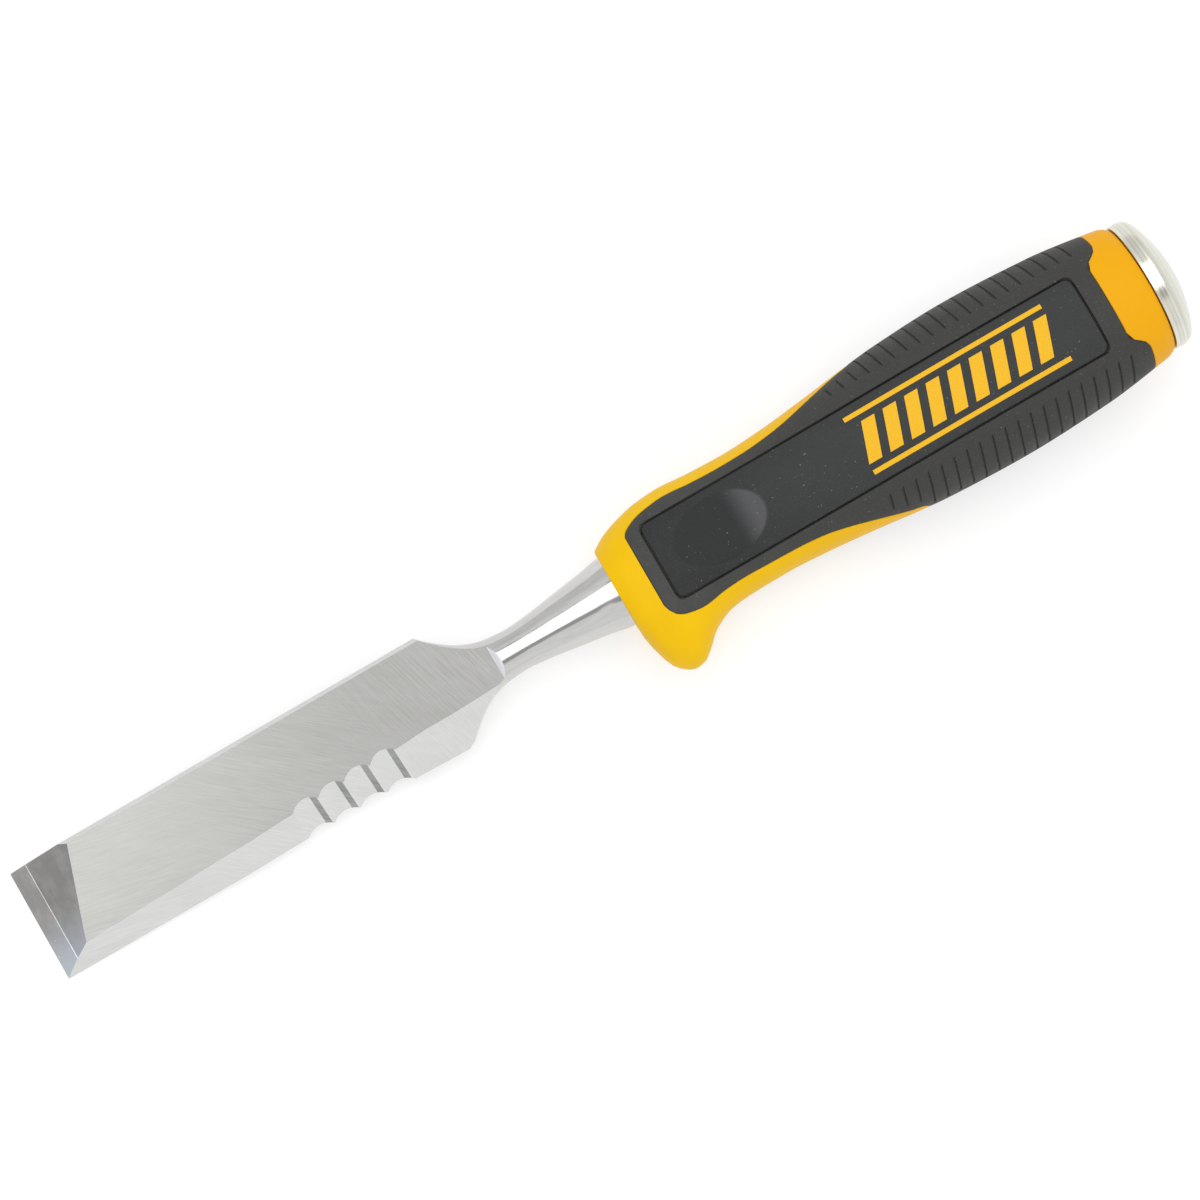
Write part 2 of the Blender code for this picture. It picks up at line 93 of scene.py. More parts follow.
SCALLOP_R, SCALLOP_DEPTH, SCALLOP_REACH, SCALLOP_AROUND = 6.6, 0.8, (-6.0, 14.0), 150
EDGE_ROUND, KEEN_ANGLE, BLADE_CREASE = 0.12, 22.0, 13.0  # edges over KEEN_ANGLE degrees are rounded
BLANK_RISE, EDGE_EXTRA, CORNER_X, LAP = 9.0, 1.0, 0.8, 0.02  # the plate that the faces are ground into
PAST = 5.0  # how far cutters start before the blade
NECK_AROUND, NECK_STEP = 96, 0.6
NECK_ROUND = (  # x, radius where the neck is round
    (113.0, 5.0), (116.0, 4.8), (121.0, 5.2), (128.0, 6.2), (135.0, 7.2), (140.3, 8.1), (146.0, 8.2),
)
NECK_WIDTH = (
    (94.0, 12.0), (98.0, 12.6), (100.4, 10.8), (102.9, 8.8), (105.5, 7.1), (108.0, 6.0), (110.5, 5.3),
    *NECK_ROUND,
)
NECK_HEIGHT = (
    (94.0, 6.0), (98.0, 6.6), (100.4, 6.2), (102.9, 5.9), (105.5, 5.6), (108.0, 5.3), (110.5, 5.15),
    *NECK_ROUND,
)
NECK_SQUARENESS = (
    (94.0, 8.0), (98.0, 8.0), (100.4, 6.0), (102.9, 4.6), (105.5, 3.6), (108.0, 2.8), (110.5, 2.2),
    (113.0, 2.0), (146.0, 2.0),
)
BOLSTER_END_X, BOLSTER_ROUND, TANG_R, TANG_END_X = 147.0, 0.8, 4.5, 270.0

# ---- handle, in mm ----
HANDLE_X, HANDLE_END_X = 140.3, 267.0
REAR_HALF = (  # the same half widths on both sides
    (229.0, 18.3), (249.0, 17.45), (262.0, 15.8), (265.5, 15.2), (267.0, 14.2),
)
SPINE_SIDE = (
    (140.3, 9.5), (143.4, 11.4), (148.5, 13.2), (153.0, 14.15), (158.5, 14.5), (165.0, 14.0),
    (174.0, 13.75), (182.0, 14.15), (194.0, 15.4), (205.0, 16.8), (212.0, 17.55), *REAR_HALF,
)
GUARD_SIDE = (
    (140.3, 10.6), (141.4, 16.0), (143.4, 20.3), (147.0, 22.4), (149.0, 22.1), (151.0, 20.7),
    (155.0, 17.2), (160.0, 15.15), (165.0, 14.65), (174.0, 14.5), (182.0, 14.9), (194.0, 16.0),
    (205.0, 17.25), (212.0, 17.8), *REAR_HALF,
)
THICKNESS = (
    (140.3, 9.2), (143.4, 10.4), (150.0, 11.1), (175.0, 12.2), (196.0, 13.7), (212.0, 14.9),
    (229.0, 15.9), (249.0, 15.8), (262.0, 15.1), (265.5, 14.8), (267.0, 14.2),
)
SQUARENESS = ((140.3, 2.0), (150.0, 2.3), (229.0, 2.35), (256.0, 2.2), (267.0, 2.0))

# ---- grip, in mm: the rubber's half width in plan, and where it ends at the rear, by |y| ----
TONGUE_SPINE = (
    (147.3, 8.4), (147.8, 9.3), (149.0, 10.1), (151.0, 11.0), (153.5, 11.6), (158.5, 12.1), (165.0, 11.6),
    (171.0, 11.4), (177.0, 11.5), (183.0, 12.0), (188.0, 12.8), (194.0, 14.2), (202.0, 16.05),
    (205.0, 16.6), (206.8, 17.6), (208.5, 26.0),
)
TONGUE_GUARD = (
    (147.3, 8.4), (147.8, 9.9), (149.0, 11.4), (151.0, 12.2), (154.5, 12.6), (160.0, 11.8), (165.0, 11.5),
    (171.0, 11.6), (177.0, 11.75), (183.0, 12.2), (188.0, 13.1), (194.0, 14.6), (202.0, 16.55),
    (205.0, 17.1), (206.8, 18.0), (208.5, 26.0),
)
GRIP_X, GRIP_START_Y = TONGUE_SPINE[0]
GRIP_REAR = (
    (0.0, 257.8), (7.8, 257.8), (9.0, 258.35), (10.0, 259.65), (11.0, 260.9), (12.0, 261.35), (15.0, 261.3),
    (26.0, 261.25),
)
REAR_START_X, REAR_X = 257.3, 261.3  # rows between these follow the rear edge more and more
RUBBER, POCKET = 1.35, 1.5  # how deep the rubber goes, and the yellow core under it
SPEAR_TIP_X = 206.8  # the yellow side bands end here
CLEAR_X = (207.3, 256.3)  # the rubber's outline never comes between these
SPEAR_TIP_ANGLE = math.radians(0.6)
SIDE_ANGLE = math.radians(14.0)  # last column before the side, behind the bands
EDGE_LADDER = (0.0, 0.05, 0.12, 0.2, 0.32, 0.5, 0.85)  # row distances from an edge
UNDER_LADDER = (-0.06, -0.4)  # and those just under the rubber
ROW_STEP, ROW_CLEARANCE = 0.9, 0.03
SETTLE_ROUNDS = 6  # a leaning column and its rows settle in this many turns
RUBBER_ROUND, PLASTIC_ROUND = 0.34, 0.22
BORE_R, BORE_CHAMFER, BORE_GAP = 8.5, 0.25, 0.4  # round the neck's bolster

PANEL_X, PANEL_HALF, PANEL_CORNER = (150.5, 253.5), 9.1, 2.0
PANEL_GROOVE, PANEL_THICK, PANEL_FLOOR, PANEL_ROUND = 0.42, 0.9, 1.0, 0.3
WINDOW_ROUND = 0.22
WINDOW_LADDER = (-0.8, -0.45, -0.2, -0.05, 0.0, 0.06, 0.14, 0.24, 0.42)
WINDOW_SHARE = 0.83  # the window's columns keep within this share of the tongue's width
GRIP_COLUMNS = (9, 27, 4)  # inside the window, across the flank, and down to the side
CORE_COLUMNS = (9, 11)  # under the rubber, and down the side band
DIMPLE_X, DIMPLE_HALF_X, DIMPLE_HALF_Y, DIMPLE_DEPTH = 165.3, 10.7, 7.1, 0.9

RIB_COUNT, RIB_PITCH, RIB_FIRST_X = 20, 3.02, 199.45
RIB_SPINE_Y, RIB_GUARD_Y, RIB_LOW_Z, RIB_MARGIN = 12.1, 11.4, 2.2, 0.9
RIB_DEPTH, RIB_RAMP, RIB_STEP, RIB_CROWN = 0.36, 0.8, 0.14, 0.06  # a ramp down, then a steep step up
RIB_SLANT, RIB_SLANT_Y = 0.2, (11.0, 16.7)  # how far a rib leans to the tip per mm outwards
RIB_SLANT_START = (188.0, 199.0)  # rows lean more and more between these

# ---- printed mark, in mm ----
MARK_X, MARK_LINE_Y, MARK_LINE_WIDTH = (198.4, 245.2), 6.2, 1.0
MARK_BAR_HALF_Y, MARK_BARS, MARK_BAR_WIDTH, MARK_SLANT = 4.3, 9, 3.1, 0.35
MARK_PROUD = 0.035

# ---- strike cap, in mm ----
CAP_X, CAP_R, CAP_RIM_END_X, LENGTH = 267.15, 14.6, 269.2, 274.5
CAP_CHAMFER, CAP_CORNER, CAP_AROUND = 0.2, 2.6, 144
CAP_RING_PITCH, CAP_RING_DEPTH = 1.0, 0.02
CAP_DOME_STEPS, CAP_TIP_R = 100, 0.25

# ---- camera and lights ----
DARK_CONES = (  # direction, inner and outer angle in degrees, strength inside
    ((0.0, 0.0, 1.0), 34.0, 40.0, 0.45), ((-0.75, 0.0, 0.66), 16.0, 30.0, 0.5),
    ((0.0, 1.0, 0.05), 20.0, 55.0, 0.8),
)
BOX_CENTRE, BOX_SIZE, BOX_RADIANCE = (0.0, 0.13, 0.9), (1.3, 0.78), 1.75
CAMERA_TARGET, CAMERA_DISTANCE = (136.4, 0.19, 0.0), 812.5
CAMERA_TILT, CAMERA_ROLL = math.radians(3.8), math.radians(30.0)
CAMERA_LENS, SENSOR = 116.3, 36.0


# ---- helpers ----
def curve(points):
    """A smooth curve through (x, value) points that doesn't overshoot them, for numbers or arrays."""
    xs = np.array([p[0] for p in points], float)
    ys = np.array([p[1] for p in points], float)
    h = np.diff(xs)
    d = np.diff(ys) / h
    slopes = np.zeros(len(xs))
    slopes[0], slopes[-1] = d[0], d[-1]
    for i in range(1, len(d)):
        if d[i - 1] * d[i] > 0:
            w0, w1 = 2 * h[i] + h[i - 1], h[i] + 2 * h[i - 1]
            slopes[i] = (w0 + w1) / (w0 / d[i - 1] + w1 / d[i])

    def value(at):
        at = np.clip(at, xs[0], xs[-1])
        i = np.clip(np.searchsorted(xs, at, side="right") - 1, 0, len(h) - 1)
        t = (at - xs[i]) / h[i]
        return (
            (1 + 2 * t) * (1 - t) ** 2 * ys[i] + t * (1 - t) ** 2 * h[i] * slopes[i]
            + t * t * (3 - 2 * t) * ys[i + 1] + t * t * (t - 1) * h[i] * slopes[i + 1]
        )
    return value


def smooth_step(low, high, at):
    t = np.clip((at - low) / (high - low), 0.0, 1.0)
    return t * t * (3 - 2 * t)


def rounding(distance, radius):
    """How far a rounded edge has dropped at a distance inside it."""
    inside = np.clip(radius - distance, 0.0, radius)
    return radius - np.sqrt(np.maximum(radius ** 2 - inside ** 2, 0.0))


def places(first, last, step, fine=()):
    """Row places: finer ones at (place, offsets) spots, the first named first, and even ones between."""
    spots = [first, last]
    for at, offsets in fine:
        for d in offsets:
            if first < at + d < last and min(abs(at + d - spot) for spot in spots) > ROW_CLEARANCE:
                spots.append(at + d)
    spots.sort()
    rows = []
    for a, b in zip(spots, spots[1:]):
        count = max(1, round((b - a) / step))
        rows += [a + (b - a) * i / count for i in range(count)]
    return np.array(rows + [last])


def tool_pose():
    """From the tool's axes to the row frame: the flat back's mount gives the pitch, the boxes the place."""
    back = next(m for m in frame["record"]["mounts"] if m["name"] == "blade_back")
    up = -Vector(back["axis"])
    across = Vector((0.0, 1.0, 0.0))
    along = across.cross(up)
    turn = Matrix((along, across, up)).transposed().to_4x4()
    cap_low, cap_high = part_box("strike_cap")
    edge = Vector((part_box("blade")[0].x, (cap_low.y + cap_high.y) / 2, cad_box[0].z))
    return Matrix.Translation(edge - turn @ Vector((0.0, 0.0, BACK_Z * MM))) @ turn


TOOL = tool_pose()


def new_mesh(name, points, faces, closed=True):
    """A mesh from points in mm, with its faces turned outwards."""
    mesh = bpy.data.meshes.new(name)
    mesh.from_pydata(np.asarray(points, float).tolist(), [], faces)
    if closed:
        work = bmesh.new()
        work.from_mesh(mesh)
        bmesh.ops.recalc_face_normals(work, faces=work.faces)
        work.to_mesh(mesh)
        work.free()
    return mesh


def put(name, data):
    """A new object in the scene."""
    made = bpy.data.objects.new(name, data)
    bpy.context.scene.collection.objects.link(made)
    return made


def add_piece(name, mesh, looks, node, crease=35.0, choose=None):
    """A visible piece: moved into the tool's pose in metres, smooth with sharp creases, on the one body."""
    mesh.materials.clear()
    for look in looks:
        mesh.materials.append(look)
    if choose:
        for face in mesh.polygons:
            face.material_index = choose(face)
    mesh.transform(TOOL @ Matrix.Scale(MM, 4))
    mesh.shade_smooth()
    mesh.set_sharp_from_angle(angle=math.radians(crease))
    piece = put(name, mesh)
    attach(piece, "root")
    if node:
        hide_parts(node)
    return piece


def loft_faces(rows, columns):
    """Quads round closed rings, and the two end faces."""
    faces = []
    for row in range(rows - 1):
        near, far = row * columns, (row + 1) * columns
        for i in range(columns):
            j = (i + 1) % columns
            faces.append((near + i, near + j, far + j, far + i))
    faces.append(tuple(range(columns)))
    faces.append(tuple(range((rows - 1) * columns, rows * columns)))
    return faces


def loft(name, rings):
    return new_mesh(name, np.concatenate(rings), loft_faces(len(rings), len(rings[0])))


# ---- materials ----
class Look:
    """A procedural material in the making: a Principled shader and short ways to wire nodes to it."""

    def __init__(self, name, colour, roughness, metallic=0.0, **sockets):
        self.material = bpy.data.materials.new(name)
        self.material.use_nodes = True
        self.tree = self.material.node_tree
        self.shader = self.tree.nodes["Principled BSDF"]
        self.set(self.shader, {
            "Base Color": (*colour, 1.0), "Roughness": roughness, "Metallic": metallic, **sockets,
        })
        world = self.tree.nodes.new("ShaderNodeTexCoord").outputs["Object"]
        self.place = self.node("Mapping", {
            "Vector": world, "Location": TOOL.translation, "Rotation": TOOL.to_euler(),
        }, vector_type="TEXTURE").outputs[0]

    def set(self, node, values):
        for key, value in values.items():
            if isinstance(value, bpy.types.NodeSocket):
                self.tree.links.new(value, node.inputs[key])
            else:
                node.inputs[key].default_value = value

    def node(self, kind, values=None, **properties):
        made = self.tree.nodes.new("ShaderNode" + kind)
        for key, value in properties.items():
            setattr(made, key, value)
        self.set(made, values or {})
        return made

    def stretched(self, scale, turn=0.0, shift=(0.0, 0.0, 0.0)):
        """The tool's own coordinates, turned about z, then divided by a grain size along each axis."""
        turned = self.node("Mapping", {"Vector": self.place, "Rotation": (0.0, 0.0, turn)})
        sized = self.node("Mapping", {
            "Vector": turned.outputs[0], "Scale": tuple(1 / (s * MM) for s in scale), "Location": shift,
        })
        return sized.outputs[0]

    def noise(self, vector, detail=4.0, rough=0.55):
        return self.node("TexNoise", {
            "Vector": vector, "Scale": 1.0, "Detail": detail, "Roughness": rough,
        }).outputs["Fac"]

    def grain(self, size, detail=4.0, rough=0.55, **placing):
        """Noise with a grain size in mm, one for all axes or one for each."""
        scale = size if isinstance(size, tuple) else (size,) * 3
        return self.noise(self.stretched(scale, **placing), detail, rough)

    def span(self, value, low, high, out_low=0.0, out_high=1.0):
        return self.node("MapRange", {
            "Value": value, "From Min": low, "From Max": high, "To Min": out_low, "To Max": out_high,
        }, interpolation_type="SMOOTHSTEP").outputs["Result"]

    def axis(self, name):
        """One of the tool's own coordinates, in mm."""
        parts = self.node("SeparateXYZ", {"Vector": self.place})
        return self.sum("MULTIPLY", parts.outputs[name], 1 / MM)

    def sum(self, operation, a, b):
        return self.node("Math", {0: a, 1: b}, operation=operation).outputs[0]

    def mix(self, factor, a, b):
        a, b = ((*c, 1.0) if isinstance(c, tuple) else c for c in (a, b))
        return self.node("Mix", {0: factor, 6: a, 7: b}, data_type="RGBA").outputs[2]

    def blend(self, factor, a, b):
        return self.node("Mix", {0: factor, 2: a, 3: b}, data_type="FLOAT").outputs[0]

    def bump(self, height, distance, strength=1.0, under=None):
        values = {"Height": height, "Distance": distance * MM, "Strength": strength}
        if under:
            values["Normal"] = under
        return self.node("Bump", values).outputs[0]

    def done(self, **sockets):
        names = {"colour": "Base Color", "roughness": "Roughness", "normal": "Normal"}
        self.set(self.shader, {names[key]: value for key, value in sockets.items()})
        return self.material


def ground_steel(name, dark, light, tip=None):
    """Belt-ground faces: long grind marks that swing from along the blade at the tip to across it. A tip
    colour, when given, paints the face lighter towards the cutting end: painted light.
    """
    look = Look(name, light, 0.36, 1.0)
    x = look.axis("X")
    marks = None
    for turn, start in ((12, 0), (40, 40), (74, 84)):
        fine = look.grain((7.0, 0.2, 3.0), 5.0, 0.6, turn=math.radians(turn))
        marks = fine if marks is None else look.blend(look.span(x, start - 20, start + 12), marks, fine)
    broad = look.grain((26.0, 5.0, 8.0), 2.0, turn=math.radians(30))
    shade = look.sum("ADD", look.sum("MULTIPLY", marks, 0.75), look.sum("MULTIPLY", broad, 0.25))
    low, high = dark, light
    # painted light: the colour grows lighter towards the cutting end, where the face catches more light
    if tip:
        near = look.span(x, 95.0, 5.0)
        low = look.mix(near, low, tuple(0.9 * c for c in tip))
        high = look.mix(near, high, tuple(1.1 * c for c in tip))
    colour = look.mix(look.span(shade, 0.3, 0.7), low, high)
    return look.done(
        colour=colour,
        roughness=look.span(shade, 0.3, 0.7, 0.33, 0.43),
        normal=look.bump(marks, 0.009),
    )


def honed_steel():
    """The cutting bevel: fine cross-wise honing on a flat, darker mirror, painted paler and bluer towards
    the sharp side as a painted reflection, with near-white specks near the edge as painted glints.
    """
    look = Look("honed_steel", (0.5, 0.49, 0.475), 0.22, 1.0)
    marks = look.grain((0.16, 5.0, 0.16), 4.0, 0.6, turn=math.radians(4))
    stains = look.grain((3.2, 4.0, 3.0), 3.0)
    # painted reflection: paler and bluer towards the sharp side, as if the bevel reflected a pale sky
    side = look.span(look.axis("Y"), 2.0, -12.0)
    colour = look.mix(look.span(stains, 0.35, 0.7), (0.44, 0.433, 0.42), (0.53, 0.522, 0.505))
    colour = look.mix(side, colour, (0.70, 0.75, 0.82))
    # painted glints: near-white specks near the edge stand for light glinting off tiny notches
    painted_nick_glints = look.span(look.grain((0.35, 0.8, 0.5), 2.0), 0.70, 0.74)
    near_edge, low = look.span(look.axis("X"), 9.0, 6.0), look.span(look.axis("Y"), -1.0, -6.0)
    painted_nick_glints = look.sum("MULTIPLY", painted_nick_glints, look.sum("MULTIPLY", near_edge, low))
    colour = look.mix(painted_nick_glints, colour, (0.97, 0.98, 1.0))
    return look.done(colour=colour, roughness=look.span(marks, 0.3, 0.7, 0.18, 0.27),
                     normal=look.bump(marks, 0.002))


def polished_steel(name, dark, light):
    """Neck and shoulder: bright, with faint polishing lines along the neck."""
    look = Look(name, light, 0.13, 1.0)
    lines = look.grain((40.0, 0.9, 0.9), 3.0)
    return look.done(
        colour=look.mix(look.span(lines, 0.3, 0.7), dark, light),
        roughness=look.span(lines, 0.3, 0.7, 0.10, 0.16),
    )


def plated_cap():
    """Turned, zinc-plated steel: concentric tool marks and a faint yellow passivation tint."""
    look = Look("plated_cap", (0.60, 0.59, 0.55), 0.22, 1.0)
    parts = look.node("SeparateXYZ", {"Vector": look.place})
    y2 = look.sum("MULTIPLY", parts.outputs["Y"], parts.outputs["Y"])
    z2 = look.sum("MULTIPLY", parts.outputs["Z"], parts.outputs["Z"])
    radius = look.sum("POWER", look.sum("ADD", y2, z2), 0.5)
    along = look.node("CombineXYZ", {"X": radius, "Y": parts.outputs["X"]})
    grain = (1 / (0.28 * MM), 1 / (0.8 * MM), 1.0)
    sized = look.node("Mapping", {"Vector": along.outputs[0], "Scale": grain})
    rings = look.noise(sized.outputs[0], 3.0, 0.6)
    cloud = look.grain(4.0, 3.0)
    colour = look.mix(look.span(rings, 0.32, 0.68), (0.58, 0.565, 0.49), (0.79, 0.78, 0.71))
    colour = look.mix(look.span(cloud, 0.45, 0.7, 0.0, 0.45), colour, (0.70, 0.67, 0.56))
    return look.done(colour=colour, roughness=look.span(rings, 0.3, 0.7, 0.18, 0.34),
                     normal=look.bump(rings, 0.02))


def yellow_plastic():
    """Matt moulded plastic with a fine spark-eroded grain; a little deeper in tone to the rear."""
    look = Look("yellow_plastic", (0.80, 0.47, 0.004), 0.46, **{"IOR": 1.46, "Specular IOR Level": 0.1})
    grain = look.grain(0.28, 3.0)
    cloud = look.grain(9.0, 3.0)
    rear = look.span(look.axis("X"), 150.0, 262.0)
    colour = look.mix(look.span(cloud, 0.3, 0.7), (0.77, 0.458, 0.003), (0.79, 0.477, 0.003))
    colour = look.mix(rear, colour, (0.77, 0.365, 0.005))
    return look.done(colour=colour, roughness=look.span(grain, 0.3, 0.7, 0.40, 0.52),
                     normal=look.bump(grain, 0.010))


def rubber(name, dark, light, rear, roughness, grain_size, specks, painted_dimple_shading=False):
    """Soft-touch rubber: fine grain, faint handling shine and dust; the dimple flag adds painted shade in
    the thumb dimple and a painted-light crescent on its slope nearer the cap.
    """
    look = Look(name, dark, roughness, **{"IOR": 1.40, "Specular IOR Level": 0.3})
    grain = look.grain(grain_size, 4.0, 0.65)
    cloud = look.grain(7.0, 4.0)
    dust = look.grain(0.55, 1.0, shift=(3.1, 1.7, 0.4))
    x, y = look.axis("X"), look.axis("Y")
    colour = look.mix(look.span(cloud, 0.3, 0.75), dark, light)
    colour = look.mix(look.span(x, 152.0, 196.0), colour, rear)
    colour = look.mix(look.span(grain, 0.5, 0.72, 0.0, 0.5), colour, tuple(2.0 * c for c in rear))
    if painted_dimple_shading:
        # Painted shade and light: the dimple's hollow is painted darker, and its slope nearer the cap
        # painted lighter, as if lit from the cutting end.
        along = look.sum("MULTIPLY", look.sum("SUBTRACT", x, DIMPLE_X), 1 / DIMPLE_HALF_X)
        across = look.sum("MULTIPLY", y, 1 / DIMPLE_HALF_Y)
        ring = look.sum("ADD", look.sum("MULTIPLY", along, along), look.sum("MULTIPLY", across, across))
        inside = look.span(ring, 1.05, 0.88)
        painted_light_crescent = look.span(x, DIMPLE_X + 2.8, DIMPLE_X + 8.4)
        # painted shade darkens the dimple's hollow
        colour = look.mix(look.sum("MULTIPLY", inside, 0.6), colour, (0.016, 0.0175, 0.0172))
        # painted light: a lighter crescent on the dimple's slope nearer the cap
        colour = look.mix(look.sum("MULTIPLY", look.sum("MULTIPLY", inside, painted_light_crescent), 0.95), colour,
                          (0.080, 0.080, 0.086))
    colour = look.mix(look.span(dust, 0.71, 0.80, 0.0, specks), colour, (0.22, 0.22, 0.21))
    return look.done(
        colour=colour,
        roughness=look.span(cloud, 0.25, 0.75, roughness - 0.05, roughness + 0.06),
        normal=look.bump(grain, 0.05),
    )


def print_ink():
    """The printed mark's yellow: matt, with a little grain from the rubber under it."""
    look = Look("print_ink", (0.78, 0.43, 0.012), 0.5, **{"Specular IOR Level": 0.2})
    grain = look.grain(0.22, 3.0)
    colour = look.mix(look.span(grain, 0.3, 0.7), (0.74, 0.41, 0.010), (0.82, 0.45, 0.014))
    return look.done(colour=colour, normal=look.bump(grain, 0.01))


# ---- blade ----
def face_height(x, y):
    """Height over the back of the ruled face surface."""
    t = x / FACE_END_X
    spine = SPINE_RISE[0] + t * (SPINE_RISE[1] - SPINE_RISE[0])
    side = SIDE_RISE[0] + t * (SIDE_RISE[1] - SIDE_RISE[0])
    side_y = SIDE_RISE_Y[0] + t * (SIDE_RISE_Y[1] - SIDE_RISE_Y[0])
    return side + (spine - side) * (y - side_y) / (SPINE_RISE_Y - side_y)


def prism(outline, low, high, axis=2):
    """An outline carried straight along z, or along y for an outline in x, z."""
    rings = []
    for at in (low, high):
        rings.append([(a, b, at) if axis == 2 else (a, at, b) for a, b in outline])
    return loft("prism", rings)


def ground_run_out(height, stations=12, reach=16.0, far=60.0, top=12.0):
    """Everything over a face that ends in a 45 degree step; height(x, y) is the face."""
    rings = []
    for i in range(stations + 1):
        x = -PAST + (FACE_END_X + PAST) * i / stations
        low, high = height(x, -reach), height(x, reach)
        rings.append([(x, -reach, low), (x, reach, high), (x, reach, far), (x, -reach, far)])
    low, high = height(FACE_END_X, -reach), height(FACE_END_X, reach)
    end = FACE_END_X + top
    rings.append([(end - low, -reach, top), (end - high, reach, top), (end, reach, far), (end, -reach, far)])
    return loft("run_out", rings)


def side_bevel_at(x):
    """The sharp edge's y at x, and how steeply the bevel climbs from it to its line on the face."""
    edge, line = (float(np.interp(x, *zip(*table))) for table in (SHARP_EDGE, SIDE_LINE))
    return edge, face_height(x, line) / (line - edge)


def side_bevel_cutter(past=2.0, rise=12.0):
    """Everything over the sharp side's bevel."""
    rings = []
    for x in sorted({x for x, _ in SHARP_EDGE + SIDE_LINE}):
        edge, slope = side_bevel_at(x)
        rings.append([(x, edge - past, BACK_Z - past * slope), (x, edge + rise / slope, BACK_Z + rise),
                      (x, edge - past, BACK_Z + rise)])
    return loft("side_bevel", rings)


def cutting_bevel_cutter(run=30.0, reach=60.0, under=1.0):
    """Primary bevel, the short one at the edge, and the narrow, flatter line where they meet."""
    step = EDGE_BEVEL_LEN * math.tan(EDGE_BEVEL)
    line_x = EDGE_BEVEL_LEN + BEVEL_LINE
    line_z = BACK_Z + step + BEVEL_LINE * math.tan(BEVEL_LINE_SLOPE)
    top = line_z + run * math.tan(PRIMARY_BEVEL)
    return prism([
        (-EDGE_LAND, BACK_Z - under), (-EDGE_LAND, BACK_Z + EDGE_LAND), (EDGE_BEVEL_LEN, BACK_Z + step),
        (line_x, line_z), (line_x + run, top), (-2 * PAST, top), (-2 * PAST, BACK_Z - under),
    ], -reach, reach, axis=1)


def spine_chamfer_cutter(past=3.0, lift=0.2, fall=0.8):
    """Everything over the chamfer between the face and the spine."""
    return loft("spine_chamfer", [
        [(x, SPINE_Y - SPINE_CHAMFER - past, BACK_Z + rise + past + lift),
         (x, SPINE_Y + past, BACK_Z + rise - past - SPINE_CHAMFER * fall),
         (x, SPINE_Y + past, BACK_Z + rise + 2 * past)]
        for x, rise in ((-PAST, SPINE_RISE[0]), (FACE_END_X, SPINE_RISE[1]))
    ])


def scallop_cutter(first, last):
    """A round flute laid along the side bevel's fall line."""
    middle, half = (first + last) / 2, (last - first) / 2
    centre = math.sqrt(SCALLOP_R ** 2 - half ** 2)
    drop = SCALLOP_DEPTH - (SCALLOP_R - centre)
    edge, slope = side_bevel_at(middle)
    bevel = math.atan(slope)
    rings = []
    for reach in SCALLOP_REACH:
        ring = []
        for i in range(SCALLOP_AROUND):
            turn = 2 * math.pi * i / SCALLOP_AROUND
            out = centre - drop + SCALLOP_R * math.sin(turn)
            ring.append((middle + SCALLOP_R * math.cos(turn),
                         edge + math.cos(bevel) * reach - math.sin(bevel) * out,
                         BACK_Z + math.sin(bevel) * reach + math.cos(bevel) * out))
        rings.append(ring)
    return loft("scallop", rings)


def neck_blank():
    """Shoulder, neck, bolster and tang as one smooth loft."""
    width, height, power = curve(NECK_WIDTH), curve(NECK_HEIGHT), curve(NECK_SQUARENESS)
    first_x, (last_x, bolster_r) = NECK_WIDTH[0][0], NECK_ROUND[-1]
    sections = [(x, width(x), height(x), power(x)) for x in np.arange(first_x, last_x, NECK_STEP)]
    sections += [(x, r, r, 2.0) for x, r in (
        (last_x, bolster_r), (BOLSTER_END_X, bolster_r - BOLSTER_ROUND), (BOLSTER_END_X + 0.2, TANG_R),
        (TANG_END_X - 1.0, TANG_R), (TANG_END_X, TANG_R - 1.0),
    )]
    turn = 2 * np.pi * np.arange(NECK_AROUND) / NECK_AROUND
    c, s = np.cos(turn), np.sin(turn)
    rings = []
    for x, w, h, n in sections:
        y = np.sign(c) * w * np.abs(c) ** (2 / n)
        z = np.sign(s) * h * np.abs(s) ** (2 / n)
        rings.append(np.stack([np.full(NECK_AROUND, x), y, z], axis=1))
    return loft("neck_blank", rings)


def carved(blank, cuts):
    """The mesh left when each (operation, mesh) has been applied with exact Booleans."""
    body = put("carving", blank)
    helpers = [body]
    for operation, mesh in cuts:
        cutter = put("cutter", mesh)
        helpers.append(cutter)
        step = body.modifiers.new("cut", "BOOLEAN")
        step.object, step.operation, step.solver = cutter, operation, "EXACT"
    graph = bpy.context.evaluated_depsgraph_get()
    result = bpy.data.meshes.new_from_object(body.evaluated_get(graph))
    for helper in helpers:
        bpy.data.objects.remove(helper)
    return result


def break_edges(mesh, width, angle):
    """Round the long ground edges a little, as a stone does."""
    work = bmesh.new()
    work.from_mesh(mesh)
    bmesh.ops.remove_doubles(work, verts=work.verts, dist=0.004)
    bmesh.ops.dissolve_limit(
        work, angle_limit=math.radians(0.4), verts=work.verts, edges=work.edges,
        use_dissolve_boundaries=False,
    )
    keen = [
        edge for edge in work.edges
        if len(edge.link_faces) == 2 and edge.calc_length() > 4 * width
        and edge.calc_face_angle() > math.radians(angle)
    ]
    bmesh.ops.bevel(
        work, geom=keen, offset=width, segments=2, profile=0.5, affect="EDGES", clamp_overlap=True,
    )
    bmesh.ops.triangulate(work, faces=[face for face in work.faces if len(face.verts) > 4])
    work.to_mesh(mesh)
    work.free()


